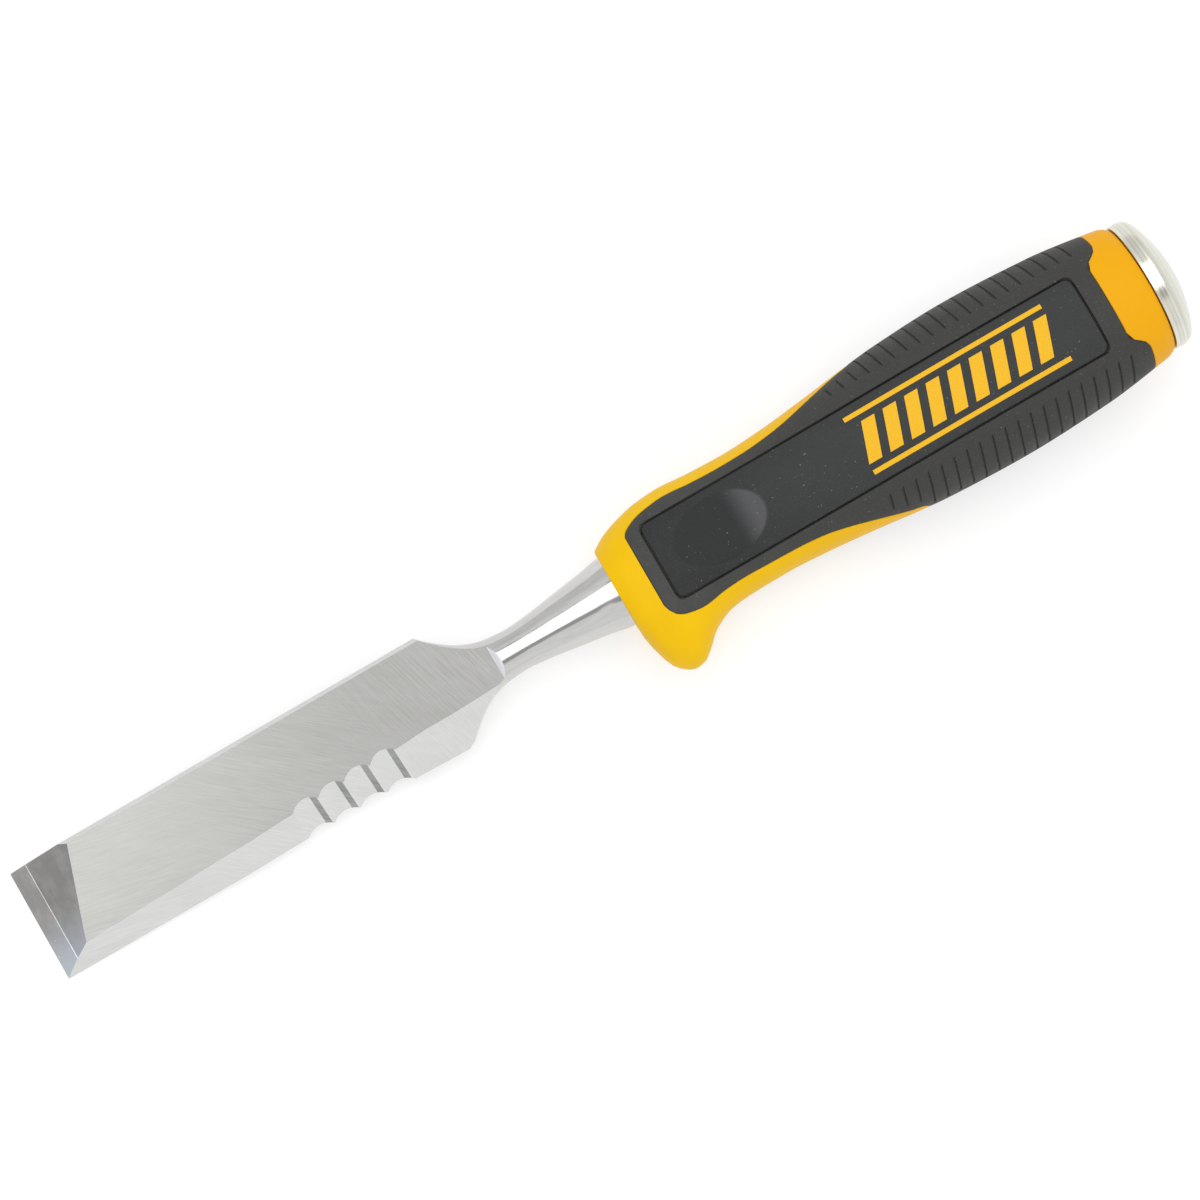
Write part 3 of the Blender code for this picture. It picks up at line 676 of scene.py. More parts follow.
def blade(looks):
    """The plate joined to the neck, then ground, bevelled, chamfered and fluted."""
    rear_x = SHOULDER_X - CORNER_X
    stations = [0.0] + [x for x, _ in SHARP_EDGE if 0 < x < rear_x] + [rear_x]
    outline = [(x, side_bevel_at(x)[0] - EDGE_EXTRA) for x in stations]
    outline += [(rear_x, side_bevel_at(rear_x)[0])]
    outline += [(SHOULDER_X + LAP, -SPINE_Y), (SHOULDER_X + LAP, SPINE_Y), (0.0, SPINE_Y)]
    plate = prism(outline, BACK_Z, BACK_Z + BLANK_RISE)
    under = ground_run_out(lambda x, y: -BACK_Z)
    under.transform(Matrix.Scale(-1, 4, (0, 0, 1)))
    under.flip_normals()
    cuts = [("UNION", neck_blank())]
    cuts += [("DIFFERENCE", cutter) for cutter in (
        ground_run_out(lambda x, y: BACK_Z + face_height(x, y)), under, side_bevel_cutter(),
        cutting_bevel_cutter(), spine_chamfer_cutter(),
        *(scallop_cutter(first, last) for first, last in zip(SERRATIONS, SERRATIONS[1:])),
    )]
    mesh = carved(plate, cuts)
    break_edges(mesh, EDGE_ROUND, KEEN_ANGLE)
    piece = add_piece("steel_blade", mesh, looks, "blade", BLADE_CREASE, blade_finish)
    weights = piece.modifiers.new("weights", "WEIGHTED_NORMAL")
    weights.keep_sharp = True


def blade_finish(face):
    """Index of a face's finish: 0 face, 1 honed, 2 polished, 3 side (a lighter, painted-light copy of the
    face's steel), 4 painted flute shade, 5 painted reflection on the step to the neck.
    """
    x, y, _ = face.center
    n = face.normal
    if n.x < -0.05 and n.z > 0.8 and x < BEVEL_END_X:
        return 1
    # painted shade: flute walls facing the cutting end get a darker copy of the ground steel
    if SERRATIONS[0] < x < SERRATIONS[-1] and y < 0.0 and -0.41 < n.x < -0.24:
        return 4
    if x > SHOULDER_X:
        # painted reflection: the 45 degree step to the neck gets a near-white, bluish copy of the polished
        # steel
        if n.x < -0.5 and n.z > 0.5:
            return 5
        if x > FACE_END_X or abs(n.z) < 0.985:
            return 3 if x < FACE_END_X and n.y < -0.55 and abs(n.x) < 0.05 else 2
    # the side bevel and the spine chamfer take the lighter copy of the face's steel, as painted light
    return 3 if n.y < -0.4 or (n.y > 0.4 and n.z > 0.1) else 0


# ---- handle surface ----
spine_half, guard_half = curve(SPINE_SIDE), curve(GUARD_SIDE)
thickness, squareness = curve(THICKNESS), curve(SQUARENESS)
tongue_spine, tongue_guard, rear_edge = curve(TONGUE_SPINE), curve(TONGUE_GUARD), curve(GRIP_REAR)


def half_width(x, guard):
    return guard_half(x) if guard else spine_half(x)


def tongue(x, guard):
    return tongue_guard(x) if guard else tongue_spine(x)


def window_half(x):
    """Half width of the columns that keep to the panel window, narrower in the tongue's round end."""
    return np.minimum(PANEL_HALF, WINDOW_SHARE * tongue_spine(x))


def on_envelope(x, angle, guard):
    """y and z of the handle's surface, upper half; the angle runs from 0 at the side to 90 degrees."""
    power = 2 / squareness(x)
    y = half_width(x, guard) * np.maximum(np.cos(angle), 0.0) ** power
    z = thickness(x) * np.maximum(np.sin(angle), 0.0) ** power
    return y, z


def angle_at(x, y, guard):
    """The angle at which the surface has that |y|; 0 where the surface is narrower."""
    share = np.clip(y / half_width(x, guard), 0.0, 1.0)
    return np.arccos(share ** (squareness(x) / 2))


def band_edge(x, guard):
    """The angle of the rubber's side edge, or of the last column where rubber covers the side."""
    real = angle_at(x, tongue(x, guard), guard)
    spread = SIDE_ANGLE * smooth_step(SPEAR_TIP_X, SPEAR_TIP_X + 12.0, x)
    return SPEAR_TIP_ANGLE + np.where(x < SPEAR_TIP_X, real, spread)


def arc_speed(x, angle, guard):
    """mm along the surface for each radian."""
    e = 0.01
    y0, z0 = on_envelope(x, angle, guard)
    y1, z1 = on_envelope(x, angle + e, guard)
    return np.hypot(y1 - y0, z1 - z0) / e


def with_normals(x, angle, guard):
    """Points and outward normals of the upper surface."""
    e = 1e-3

    def at(x, angle):
        y, z = on_envelope(x, angle, guard)
        return np.stack([x + 0 * y, y, z], axis=-1)
    inner = np.clip(angle, 5 * e, np.pi / 2 - 5 * e)
    along = at(x + e, inner) - at(x - e, inner)
    around = at(x, inner + e) - at(x, inner - e)
    normal = np.cross(along, around)
    normal /= np.linalg.norm(normal, axis=-1, keepdims=True)
    normal[..., 2] *= np.where(angle < 5 * e, 0.0, 1.0)
    normal[..., 1] *= np.where(angle > np.pi / 2 - 5 * e, 0.0, 1.0)
    normal *= np.where(normal[..., 1:2] + normal[..., 2:3] < 0, -1, 1)
    return at(x, angle), normal


def whole_ring(spine, guard, flip=None):
    """Quarter arrays from the face's middle to the side, laid round the whole handle."""
    parts = [spine[:, :-1], spine[:, :0:-1], guard[:, :-1], guard[:, :0:-1]]
    if flip is not None:
        parts = [part * sign for part, sign in zip(parts, flip)]
    return np.concatenate(parts, axis=1)


def place_ring(spine, guard):
    """Quarter points or vectors, mirrored to all four quarters."""
    signs = [np.array(s, float) for s in ((1, 1, 1), (1, 1, -1), (1, -1, -1), (1, -1, 1))]
    return whole_ring(spine, guard, signs)


def surface_points(x, angle, guard):
    y, z = on_envelope(x, angle, guard)
    return np.stack([x, y, z], axis=1)


def edge_tree(step=0.02, turn=0.001):
    """Nearest-point search over the rubber's outline on the surface: side, front and rear edges."""
    tree_points = []
    for guard in (False, True):
        xs, ys = np.arange(GRIP_X, SPEAR_TIP_X, step), np.arange(0.0, GRIP_START_Y, step)
        front = np.full_like(ys, GRIP_X)
        angles = np.arange(0.0, np.pi / 2, turn)
        y, _ = on_envelope(np.full_like(angles, REAR_X), angles, guard)
        for edge in (surface_points(xs, band_edge(xs, guard), guard),
                     surface_points(front, angle_at(front, ys, guard), guard),
                     surface_points(rear_edge(y), angles, guard)):
            tree_points.append(edge * (1.0, -1.0 if guard else 1.0, 1.0))
    tree_points = np.concatenate(tree_points)
    tree = KDTree(len(tree_points))
    for i, point in enumerate(tree_points.tolist()):
        tree.insert(point, i)
    tree.balance()
    return tree


def edge_distance(tree, points, reach=2.0):
    """Distance of each point to the rubber's outline, up to reach; the lower half mirrors the upper."""
    flat = points.reshape(-1, 3)
    found = np.full(len(flat), reach)
    for i, (x, y, z) in enumerate(flat.tolist()):
        if not CLEAR_X[0] < x < CLEAR_X[1]:
            found[i] = min(reach, tree.find((x, y, abs(z)))[2])
    return found.reshape(points.shape[:-1])


def window_distance(x, y, inset=0.0):
    """Signed distance in plan to the panel window's outline, below 0 inside it."""
    middle, half = sum(PANEL_X) / 2, (PANEL_X[1] - PANEL_X[0]) / 2
    corner = PANEL_CORNER - inset
    dx = np.abs(x - middle) - (half - inset - corner)
    dy = np.abs(y) - (PANEL_HALF - inset - corner)
    outside = np.hypot(np.maximum(dx, 0), np.maximum(dy, 0))
    return outside + np.minimum(np.maximum(dx, dy), 0) - corner


# ---- grip ----
def slanted(x, y):
    """How far a row leans towards the tip at |y|."""
    lean = RIB_SLANT * (np.clip(y, *RIB_SLANT_Y) - RIB_SLANT_Y[0])
    return lean * smooth_step(*RIB_SLANT_START, x)


def grip_angles(x, guard):
    """Angles of the grip's columns: over the window, at its rim, across the flank, its edge and below."""
    inner, flank, side = GRIP_COLUMNS
    splits = np.cumsum([inner, len(WINDOW_LADDER), flank, len(EDGE_LADDER)])
    face, rim, wide, brink, low = np.split(x, splits, axis=1)
    start = angle_at(wide, window_half(wide) + WINDOW_LADDER[-1], guard)
    edge, brink_edge = band_edge(wide, guard), band_edge(brink, guard)
    stop = edge + EDGE_LADDER[-1] / arc_speed(wide, edge, guard)
    return np.concatenate([
        angle_at(face, (window_half(face) + WINDOW_LADDER[0]) * np.arange(inner) / inner, guard),
        angle_at(rim, window_half(rim) + np.array(WINDOW_LADDER), guard),
        start + (stop - start) * np.arange(1, flank + 1) / (flank + 1),
        brink_edge + np.array(EDGE_LADDER[::-1]) / arc_speed(brink, brink_edge, guard),
        band_edge(low, guard) * (1 - np.arange(1, side + 1) / side),
    ], axis=1)


def rear_share(nominal):
    return np.clip((nominal - REAR_START_X) / (REAR_X - REAR_START_X), 0, 1)


def grip_quarter(rows, guard):
    """x and angle of one quarter's grid: rows lean with the ribs and end on the rear edge."""
    count = sum(GRIP_COLUMNS) + len(WINDOW_LADDER) + len(EDGE_LADDER)
    nominal = rows[:, None] * np.ones((1, count))
    x = nominal.copy()
    for _ in range(SETTLE_ROUNDS):
        angle = grip_angles(x, guard)
        y, _ = on_envelope(x, angle, guard)
        last = REAR_START_X - slanted(np.full_like(y, REAR_START_X), y)
        near_rear = last + rear_share(nominal) * (rear_edge(y) - last)
        x = np.where(nominal <= REAR_START_X, nominal - slanted(nominal, y), near_rear)
    return x, angle, nominal


def rib_depth(nominal, x, signed_y, z):
    """Slots that ramp down towards the cap and end in a steep step, fading at both ends of each rib."""
    y = np.abs(signed_y)
    phase = (nominal - RIB_FIRST_X) / RIB_PITCH
    number = np.round(phase)
    past = (phase - number) * RIB_PITCH
    inner = np.where(signed_y < 0, RIB_GUARD_Y, RIB_SPINE_Y)
    outer = np.where(signed_y < 0, tongue_guard(x), tongue_spine(x)) - RIB_MARGIN
    ends = smooth_step(inner, inner + 0.6, y) * smooth_step(0.0, 0.4, outer - y)
    ends = ends * smooth_step(RIB_LOW_Z, RIB_LOW_Z + 0.5, z) * (1.5 - 0.5 * smooth_step(3.0, 5.0, z))
    live = (number >= 0) & (number < RIB_COUNT)
    ramp = 0.45 * smooth_step(-RIB_RAMP, -0.3, past) + 0.55 * smooth_step(-0.3, -0.05, past)
    slot = ramp * (1 - smooth_step(0.0, RIB_STEP, past))
    crown = smooth_step(RIB_PITCH * 0.1, RIB_PITCH * 0.5, np.abs(past))
    return ends * np.where(live, RIB_DEPTH * slot + RIB_CROWN * (1 - crown), 0.0)


def grip_rows():
    rib = (0.0, RIB_STEP, 0.07, -0.05, -0.12, -0.2, -0.3, -0.5, -RIB_RAMP, 0.4)
    fine = [(GRIP_X, EDGE_LADDER), (REAR_X, [-d for d in EDGE_LADDER])]
    fine += [(PANEL_X[0], [-d for d in WINDOW_LADDER]), (PANEL_X[1], WINDOW_LADDER)]
    tip = SPEAR_TIP_X + RIB_SLANT * (RIB_SLANT_Y[1] - RIB_SLANT_Y[0])
    fine += [(tip, (0.0, -0.15, -0.4, -0.8, -1.6))]
    fine += [(RIB_FIRST_X + k * RIB_PITCH, rib) for k in range(RIB_COUNT)]
    return places(GRIP_X, REAR_X, ROW_STEP, fine), tip


def both_sides(rows, quarter):
    """Points and normals all round from two different quarters, and each quarter's own arrays."""
    sides = []
    for guard in (False, True):
        x, angle, nominal = quarter(rows, guard)
        sides.append((*with_normals(x, angle, guard), x, angle, nominal))
    spine, guard = sides
    return place_ring(spine[0], guard[0]), place_ring(spine[1], guard[1]), sides


def grip(looks, tree):
    """The rubber skin with its panel window and ribs, rounded along every edge."""
    rows, tip = grip_rows()
    points, normals, sides = both_sides(rows, grip_quarter)
    nominal = whole_ring(sides[0][-1], sides[1][-1])
    x, y, z = points[..., 0], points[..., 1], np.abs(points[..., 2])
    window = window_distance(x, y)
    recess = np.where(window <= 0.001, PANEL_FLOOR, rounding(window, WINDOW_ROUND))
    depth = np.maximum(rounding(edge_distance(tree, points), RUBBER_ROUND), recess * (z > 3))
    depth = depth + rib_depth(nominal, x, y, z)
    outer = points - normals * depth[..., None]
    inner = points - normals * RUBBER
    add_piece("rubber_grip", shell(outer, inner, rows, tip), looks, "grip_overmould")


def shell(outer, inner, rows, tip):
    """The grip's skin, its plainer inner side and the rims between them."""
    count = outer.shape[1]
    quarter = count // 4
    edge = GRIP_COLUMNS[0] + len(WINDOW_LADDER) + GRIP_COLUMNS[1] + len(EDGE_LADDER) - 1
    bare = set(range(edge, 2 * quarter - edge)) | set(range(2 * quarter + edge, count - edge))
    join = int(np.argmin(np.abs(rows - tip)))
    keep = sorted({
        *range(0, edge, 8), edge, quarter, 2 * quarter - edge,
        *(2 * quarter - k for k in range(0, edge, 8)),
    })
    keep = sorted({*keep, *(k + 2 * quarter for k in keep if k < 2 * quarter)})
    keep = [k for k in keep if k < count]
    spans = list(zip(keep, keep[1:] + [count]))
    total = len(rows) * count
    inner_index = {k: total + i for i, k in enumerate(keep)}
    points = np.concatenate([outer.reshape(-1, 3), inner[:, keep].reshape(-1, 3)])

    def out(row, column):
        return row * count + column % count

    def within(row, column):
        return inner_index[column % count] + row * len(keep)

    def is_bare(row, column):
        return row < join and column in bare

    faces = []
    for row in range(len(rows) - 1):
        for c in range(count):
            if not is_bare(row, c):
                faces.append((out(row, c), out(row, c + 1), out(row + 1, c + 1), out(row + 1, c)))
        for a, b in spans:
            if not is_bare(row, a):
                faces.append((within(row, b), within(row, a), within(row + 1, a), within(row + 1, b)))
        if row < join:
            for a in (edge, 2 * quarter - edge, 2 * quarter + edge, count - edge):
                faces.append((out(row, a), out(row + 1, a), within(row + 1, a), within(row, a)))
    for row, wanted in ((0, False), (join, True), (len(rows) - 1, None)):
        for a, b in spans:
            if wanted is None or (a in bare) == wanted:
                faces.append(tuple(out(row, c) for c in range(a, b + 1)) + (within(row, b), within(row, a)))
    used = np.unique(np.concatenate([np.array(face) for face in faces]))
    renumber = np.full(len(points), -1)
    renumber[used] = np.arange(len(used))
    faces = [tuple(renumber[list(face)].tolist()) for face in faces]
    return new_mesh("rubber_grip", points[used], faces)


# ---- yellow core ----
def core_angles(x, guard):
    """Angles of the core's columns: under the rubber, at its edge, and down the side band."""
    inner, side = CORE_COLUMNS
    ladder = np.array(sorted((*EDGE_LADDER[:-1], *UNDER_LADDER)))
    start = angle_at(np.maximum(x, HANDLE_X + 0.01), np.full_like(x, GRIP_START_Y), guard)
    edge = np.where(x < GRIP_X, start, band_edge(np.maximum(x, GRIP_X), guard))
    speed = arc_speed(x, edge, guard)
    top = edge - ladder[0] / speed
    last = np.maximum(edge - ladder[-1] / speed, 0.0)
    end = inner + len(ladder)
    return np.concatenate([
        np.pi / 2 + (top[:, :inner] - np.pi / 2) * np.arange(inner) / inner,
        np.maximum(edge[:, inner:end] - ladder / speed[:, inner:end], 0.0),
        last[:, end:] * (1 - np.arange(1, side + 1) / side),
    ], axis=1)


def core_quarter(rows, guard):
    """x and angle of one quarter's grid: rows follow the rubber's rear edge, then straighten out."""
    nominal = rows[:, None] * np.ones((1, sum(CORE_COLUMNS) + len(EDGE_LADDER) - 1 + len(UNDER_LADDER)))
    x = nominal.copy()
    for _ in range(SETTLE_ROUNDS):
        angle = core_angles(x, guard)
        y, _ = on_envelope(x, angle, guard)
        before = REAR_START_X + rear_share(nominal) * (rear_edge(y) - REAR_START_X)
        past = np.clip((nominal - REAR_X) / (HANDLE_END_X - REAR_X), 0, 1)
        after = rear_edge(y) + past * (HANDLE_END_X - rear_edge(y))
        x = np.where(nominal <= REAR_START_X, nominal, np.where(nominal <= REAR_X, before, after))
    return x, angle, nominal


def under_rubber(x, angle, nominal, guard):
    """Where the core's quarter is covered: 1 inside the rubber's outline, else 0."""
    edge = np.where(x < SPEAR_TIP_X, band_edge(x, guard), 0.0)
    covered = (nominal > GRIP_X - 0.02) & (nominal < REAR_X - 0.02)
    return 1.0 * (covered & (angle > edge + 0.02 / np.maximum(arc_speed(x, edge, guard), 1e-6)))


def handle_core(looks, tree):
    """Collar, guard, side bands and rear ring; it dips under the rubber, and has the bolster's bore."""
    ladder = (*EDGE_LADDER, *UNDER_LADDER)
    rows = places(HANDLE_X, HANDLE_END_X, ROW_STEP, [
        (HANDLE_X, (0.0, 0.08, 0.2, 0.4, 0.7)), (GRIP_X, [-d for d in ladder]), (REAR_X, ladder),
        (HANDLE_END_X, (0.0, -0.1, -0.25, -0.5, -0.9)), (SPEAR_TIP_X, (0.0, -0.8, -0.4, -0.15, 0.06, 0.4)),
    ])
    points, normals, sides = both_sides(rows, core_quarter)
    under = whole_ring(*(under_rubber(*side[2:], guard) for side, guard in zip(sides, (False, True)))) > 0.5
    depth = np.where(under, POCKET, rounding(edge_distance(tree, points), PLASTIC_ROUND))
    ends = np.minimum(points[..., 0] - HANDLE_X, HANDLE_END_X - points[..., 0])
    depth = np.maximum(depth, rounding(ends, PLASTIC_ROUND))
    skin = points - normals * depth[..., None]
    skin[..., 0] = np.clip(skin[..., 0], HANDLE_X, HANDLE_END_X)

    outline = skin[0, :, 1:] / np.linalg.norm(skin[0, :, 1:], axis=1, keepdims=True)
    bore = [
        np.concatenate([np.full((len(outline), 1), x), outline * r], axis=1)
        for x, r in ((BOLSTER_END_X + BORE_GAP, TANG_R), (BOLSTER_END_X + GAP, BORE_R),
                     (HANDLE_X + BORE_CHAMFER, BORE_R), (HANDLE_X, BORE_R + BORE_CHAMFER))
    ]
    add_piece("yellow_core", loft("yellow_core", bore + list(skin)), looks, "handle_core")


# ---- panels and print ----
def face_point(x, y, guard_side):
    """Point and normal of the handle's upper surface over x, y; guard_side is where y is below 0."""
    points, normals = [], []
    for guard in (False, True):
        p, n = with_normals(x, angle_at(x, np.abs(y), guard), guard)
        flip = np.array((1.0, -1.0 if guard else 1.0, 1.0))
        points.append(p * flip)
        normals.append(n * flip)
    pick = guard_side[..., None]
    return np.where(pick, points[1], points[0]), np.where(pick, normals[1], normals[0])


def slab(x, y, top_depth, bottom_depth, side=1):
    """A closed thin slab on the handle's face over a grid of x, y, between two depths."""
    p, n = face_point(x, y, y < 0)
    top = p - n * top_depth[..., None]
    bottom = p - n * bottom_depth
    rows, columns = x.shape
    points = np.concatenate([top.reshape(-1, 3), bottom.reshape(-1, 3)]) * np.array((1.0, 1.0, side))
    size = rows * columns
    faces = []
    for i in range(rows - 1):
        for j in range(columns - 1):
            a = i * columns + j
            quad = (a, a + 1, a + columns + 1, a + columns)
            faces.append(quad)
            faces.append(tuple(size + k for k in reversed(quad)))
    rim = list(range(columns)) + [i * columns + columns - 1 for i in range(1, rows)]
    rim += [(rows - 1) * columns + j for j in range(columns - 2, -1, -1)]
    rim += [i * columns for i in range(rows - 2, 0, -1)]
    for a, b in zip(rim, rim[1:] + rim[:1]):
        faces.append((a, b, size + b, size + a))
    return points, faces


def panel(name, node, side, looks):
    """An inlay pad with rounded corners and edges and a thumb dimple; side is 1 on the face, -1 behind."""
    ladder = (0.0, 0.04, 0.1, 0.18, 0.3, 0.5, 0.8)
    first, last = PANEL_X[0] + PANEL_GROOVE, PANEL_X[1] - PANEL_GROOVE
    half, corner = PANEL_HALF - PANEL_GROOVE, PANEL_CORNER - PANEL_GROOVE
    ends = (*ladder, 1.0, 1.25, 1.6)
    rows = places(first, last, ROW_STEP, [
        (first, ends), (last, [-d for d in ends]), (DIMPLE_X, np.arange(-10.5, 10.6, 0.4)),
    ])
    reach = np.minimum(rows - first, last - rows)
    inside = np.clip(corner - reach, 0, corner)
    width = half - corner + np.sqrt(corner ** 2 - inside ** 2)
    near = np.linspace(0, 1, 18) - 1
    core = width[:, None] - ladder[-1]
    edge = np.array(ladder[:-1])
    left = -(width[:, None] - edge[None, :])
    middle = core * np.concatenate([near, -near[-2::-1]])[None, :]
    y = np.concatenate([left, middle, -left[:, ::-1]], axis=1)
    x = rows[:, None] * np.ones_like(y)
    depth = rounding(-window_distance(x, y, PANEL_GROOVE), PANEL_ROUND)
    ring = ((x - DIMPLE_X) / DIMPLE_HALF_X) ** 2 + (y / DIMPLE_HALF_Y) ** 2
    depth = depth + DIMPLE_DEPTH * np.clip(1 - ring, 0, 1) ** 1.4
    points, faces = slab(x, y, depth, PANEL_THICK + 0.05, side)
    add_piece(name, new_mesh(name, points, faces), looks, node)


def printed_mark(looks):
    """A plain decoration: two thin lines and a row of slanted bars between them."""
    points, faces = [], []

    def patch(x0, x1, low, high, slant, rows, columns):
        u, v = np.meshgrid(np.linspace(0, 1, rows), np.linspace(low, high, columns), indexing="ij")
        x = x0 + u * (x1 - x0) + slant * v
        made, quads = slab(x, v, np.full_like(x, -MARK_PROUD), MARK_PROUD)
        base = sum(len(p) for p in points)
        points.append(made)
        faces.extend(tuple(base + k for k in quad) for quad in quads)
    for y in (-MARK_LINE_Y, MARK_LINE_Y):
        patch(*MARK_X, y - MARK_LINE_WIDTH / 2, y + MARK_LINE_WIDTH / 2, 0.0, 60, 4)
    lean = MARK_SLANT * MARK_BAR_HALF_Y
    first, last = MARK_X[0] + lean, MARK_X[1] - lean - MARK_BAR_WIDTH
    for k in range(MARK_BARS):
        x = first + (last - first) * k / (MARK_BARS - 1)
        patch(x, x + MARK_BAR_WIDTH, -MARK_BAR_HALF_Y, MARK_BAR_HALF_Y, MARK_SLANT, 6, 14)
    mesh = new_mesh("printed_mark", np.concatenate(points), faces)
    add_piece("printed_mark", mesh, looks, None)


# ---- strike cap ----
def strike_cap(looks):
    """Turned cap: short bright rim, rounded corner and a shallow dome with turning rings."""
    hole, corner_r = TANG_R + GAP, CAP_R - CAP_CORNER
    drop = LENGTH - CAP_RIM_END_X
    sphere = (drop ** 2 + corner_r ** 2 - CAP_CORNER ** 2) / (2 * (drop - CAP_CORNER))
    meet = math.asin((sphere - drop) / (sphere - CAP_CORNER))
    bend = 0.3 * CAP_CHAMFER
    profile = [(TANG_END_X + GAP, hole), (CAP_X, hole), (CAP_X, CAP_R - CAP_CHAMFER),
               (CAP_X + bend, CAP_R - bend), (CAP_X + CAP_CHAMFER, CAP_R)]
    profile += [(x, CAP_R) for x in np.linspace(CAP_X + 2 * CAP_CHAMFER, CAP_RIM_END_X, 4)]
    for turn in np.linspace(0, meet, 10)[1:]:
        x, r = CAP_RIM_END_X + CAP_CORNER * math.sin(turn), corner_r + CAP_CORNER * math.cos(turn)
        profile.append((x, r))
    for r in np.linspace(profile[-1][1], CAP_TIP_R, CAP_DOME_STEPS)[1:]:
        ring = CAP_RING_DEPTH * (0.5 - 0.5 * math.cos(2 * math.pi * r / CAP_RING_PITCH))
        profile.append((LENGTH - sphere + math.sqrt(sphere ** 2 - r ** 2) - ring, r))
    turn = 2 * np.pi * np.arange(CAP_AROUND) / CAP_AROUND
    across, up = np.cos(turn), np.sin(turn)
    rings = [np.stack([np.full(CAP_AROUND, x), r * across, r * up], axis=1) for x, r in profile]
    add_piece("plated_strike_cap", loft("plated_strike_cap", rings), looks, "strike_cap")


# ---- stage ----
def floor(half=6.0, below=0.0002):
    """A plain pale bench top, far larger than the tool, just below it."""
    mesh = bpy.data.meshes.new("bench_top")
    corners = [(-half, -half, 0), (half, -half, 0), (half, half, 0), (-half, half, 0)]
    mesh.from_pydata(corners, [], [(0, 1, 2, 3)])
    look = Look("bench_white", (0.42, 0.42, 0.42), 0.8, **{
        "Specular IOR Level": 0.0, "Emission Color": (1.0, 1.0, 1.0, 1.0), "Emission Strength": 0.6,
    })
    mesh.materials.append(look.material)
    made = put("bench_top", mesh)
    made.location.z = cad_box[0].z - below


def softbox(centre, size, radiance):
    """A rectangular soft light over the bench, facing down; radiance is what its face shows."""
    light = bpy.data.lights.new("softbox", "AREA")
    light.shape = "RECTANGLE"
    light.size, light.size_y = size
    light.energy = radiance * math.pi * size[0] * size[1]
    made = put("softbox", light)
    made.location = centre
    made.visible_camera = False


def dark_cone(tree, looking, direction, inner, outer, level):
    """1 outside a cone about a direction, and level inside it; the angles are in degrees."""
    dot = tree.nodes.new("ShaderNodeVectorMath")
    dot.operation = "DOT_PRODUCT"
    dot.inputs[1].default_value = Vector(direction).normalized()
    tree.links.new(looking, dot.inputs[0])
    ramp = tree.nodes.new("ShaderNodeMapRange")
    ramp.interpolation_type = "SMOOTHSTEP"
    for key, value in (("From Min", math.cos(math.radians(outer))),
                       ("From Max", math.cos(math.radians(inner))), ("To Min", 1.0), ("To Max", level)):
        ramp.inputs[key].default_value = value
    tree.links.new(dot.outputs["Value"], ramp.inputs["Value"])
    return ramp.outputs[0]


def lights():
    """One softbox overhead in a pale room, darker at the zenith, past the cutting edge and by the spine."""
    softbox(BOX_CENTRE, BOX_SIZE, BOX_RADIANCE)
    world = bpy.data.worlds.new("studio")
    world.use_nodes = True
    tree = world.node_tree
    background = tree.nodes["Background"]
    background.inputs["Color"].default_value = (0.992, 0.996, 1.0, 1.0)
    looking = tree.nodes.new("ShaderNodeTexCoord").outputs["Generated"]
    levels = [dark_cone(tree, looking, *cone) for cone in DARK_CONES]
    strength = levels[0]
    for level in levels[1:]:
        product = tree.nodes.new("ShaderNodeMath")
        product.operation = "MULTIPLY"
        tree.links.new(strength, product.inputs[0])
        tree.links.new(level, product.inputs[1])
        strength = product.outputs[0]
    tree.links.new(strength, background.inputs["Strength"])
    bpy.context.scene.world = world
    bpy.context.scene.view_settings.view_transform = "Standard"


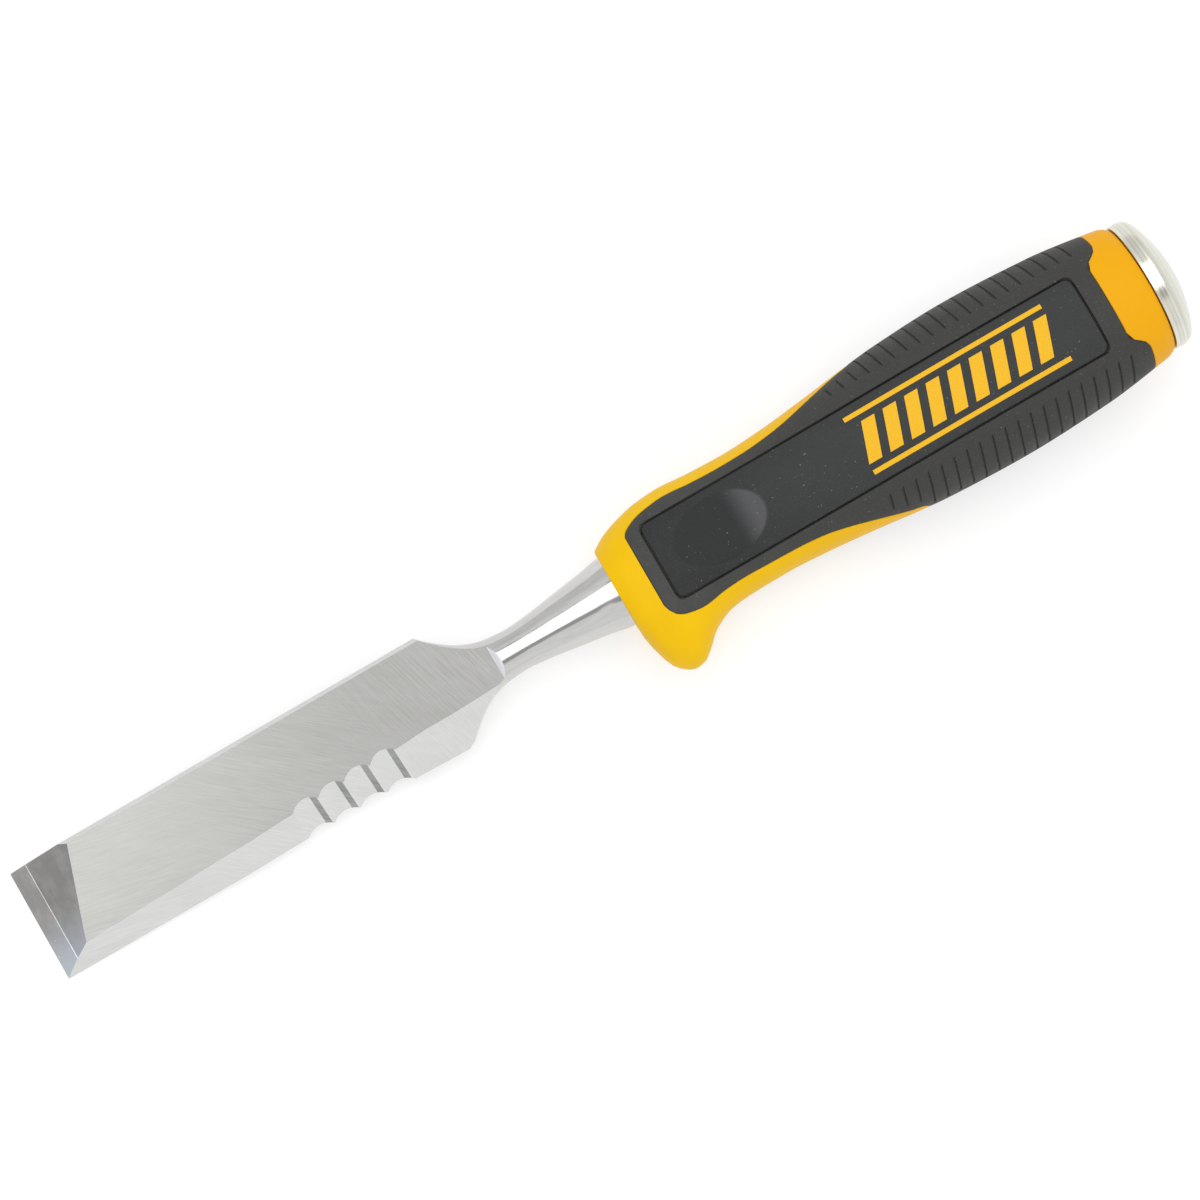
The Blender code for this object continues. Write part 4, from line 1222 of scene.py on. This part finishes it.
def camera():
    """Looks down on the ground face, a little from the cutting side, with the tool across the frame."""
    towards = Vector((0.0, -math.sin(CAMERA_TILT), math.cos(CAMERA_TILT)))
    level = Vector((0.0, math.cos(CAMERA_TILT), math.sin(CAMERA_TILT)))
    along = Vector((1.0, 0.0, 0.0))
    right = math.cos(CAMERA_ROLL) * along - math.sin(CAMERA_ROLL) * level
    up = math.sin(CAMERA_ROLL) * along + math.cos(CAMERA_ROLL) * level
    turn = Matrix((right, up, towards)).transposed().to_4x4()
    spot = (Vector(CAMERA_TARGET) + CAMERA_DISTANCE * towards) * MM
    data = bpy.data.cameras.new("camera")
    data.lens, data.sensor_width = CAMERA_LENS, SENSOR
    data.clip_start, data.clip_end = 0.05, 20.0
    made = put("camera", data)
    made.matrix_world = TOOL @ Matrix.Translation(spot) @ turn
    bpy.context.scene.camera = made


def build():
    camera()
    lights()
    floor()
    tree = edge_tree()
    blade([
        # the face and the side bevel: one ground steel, the face's copy darker (painted shade) and the side
        # bevel's much lighter (painted light)
        ground_steel("ground_steel", (0.265, 0.263, 0.254), (0.365, 0.363, 0.354), (0.46, 0.46, 0.445)),
        honed_steel(),
        polished_steel("polished_steel", (0.555, 0.55, 0.535), (0.60, 0.596, 0.583)),
        # painted light: the face's ground steel in a much lighter copy for the side bevel and spine chamfer
        ground_steel("side_painted_light_steel", (0.64, 0.642, 0.625), (0.74, 0.742, 0.725)),
        # painted shade on the flutes' walls
        ground_steel("flute_painted_shade_steel", (0.20, 0.205, 0.205), (0.42, 0.425, 0.425)),
        # painted reflection on the step to the neck: polished steel made near white and bluish
        polished_steel("step_painted_reflection_steel", (0.84, 0.845, 0.89), (0.92, 0.925, 0.96)),
    ])
    handle_core([yellow_plastic()], tree)
    grip([rubber("black_rubber", (0.048, 0.048, 0.045), (0.060, 0.060, 0.056), (0.043, 0.0425, 0.040),
                 0.62, 0.32, 0.5)], tree)
    # the pads' rubber, with painted shade in the dimple and a painted-light crescent
    pad = rubber("panel_rubber", (0.022, 0.0225, 0.0225), (0.028, 0.0285, 0.0285), (0.034, 0.035, 0.035),
                 0.56, 0.22, 0.6, painted_dimple_shading=True)
    panel("face_pad", "front_panel", 1, [pad])
    panel("rear_pad", "back_panel", -1, [pad])
    printed_mark([print_ink()])
    strike_cap([plated_cap()])


build()
bpy.context.view_layer.update()
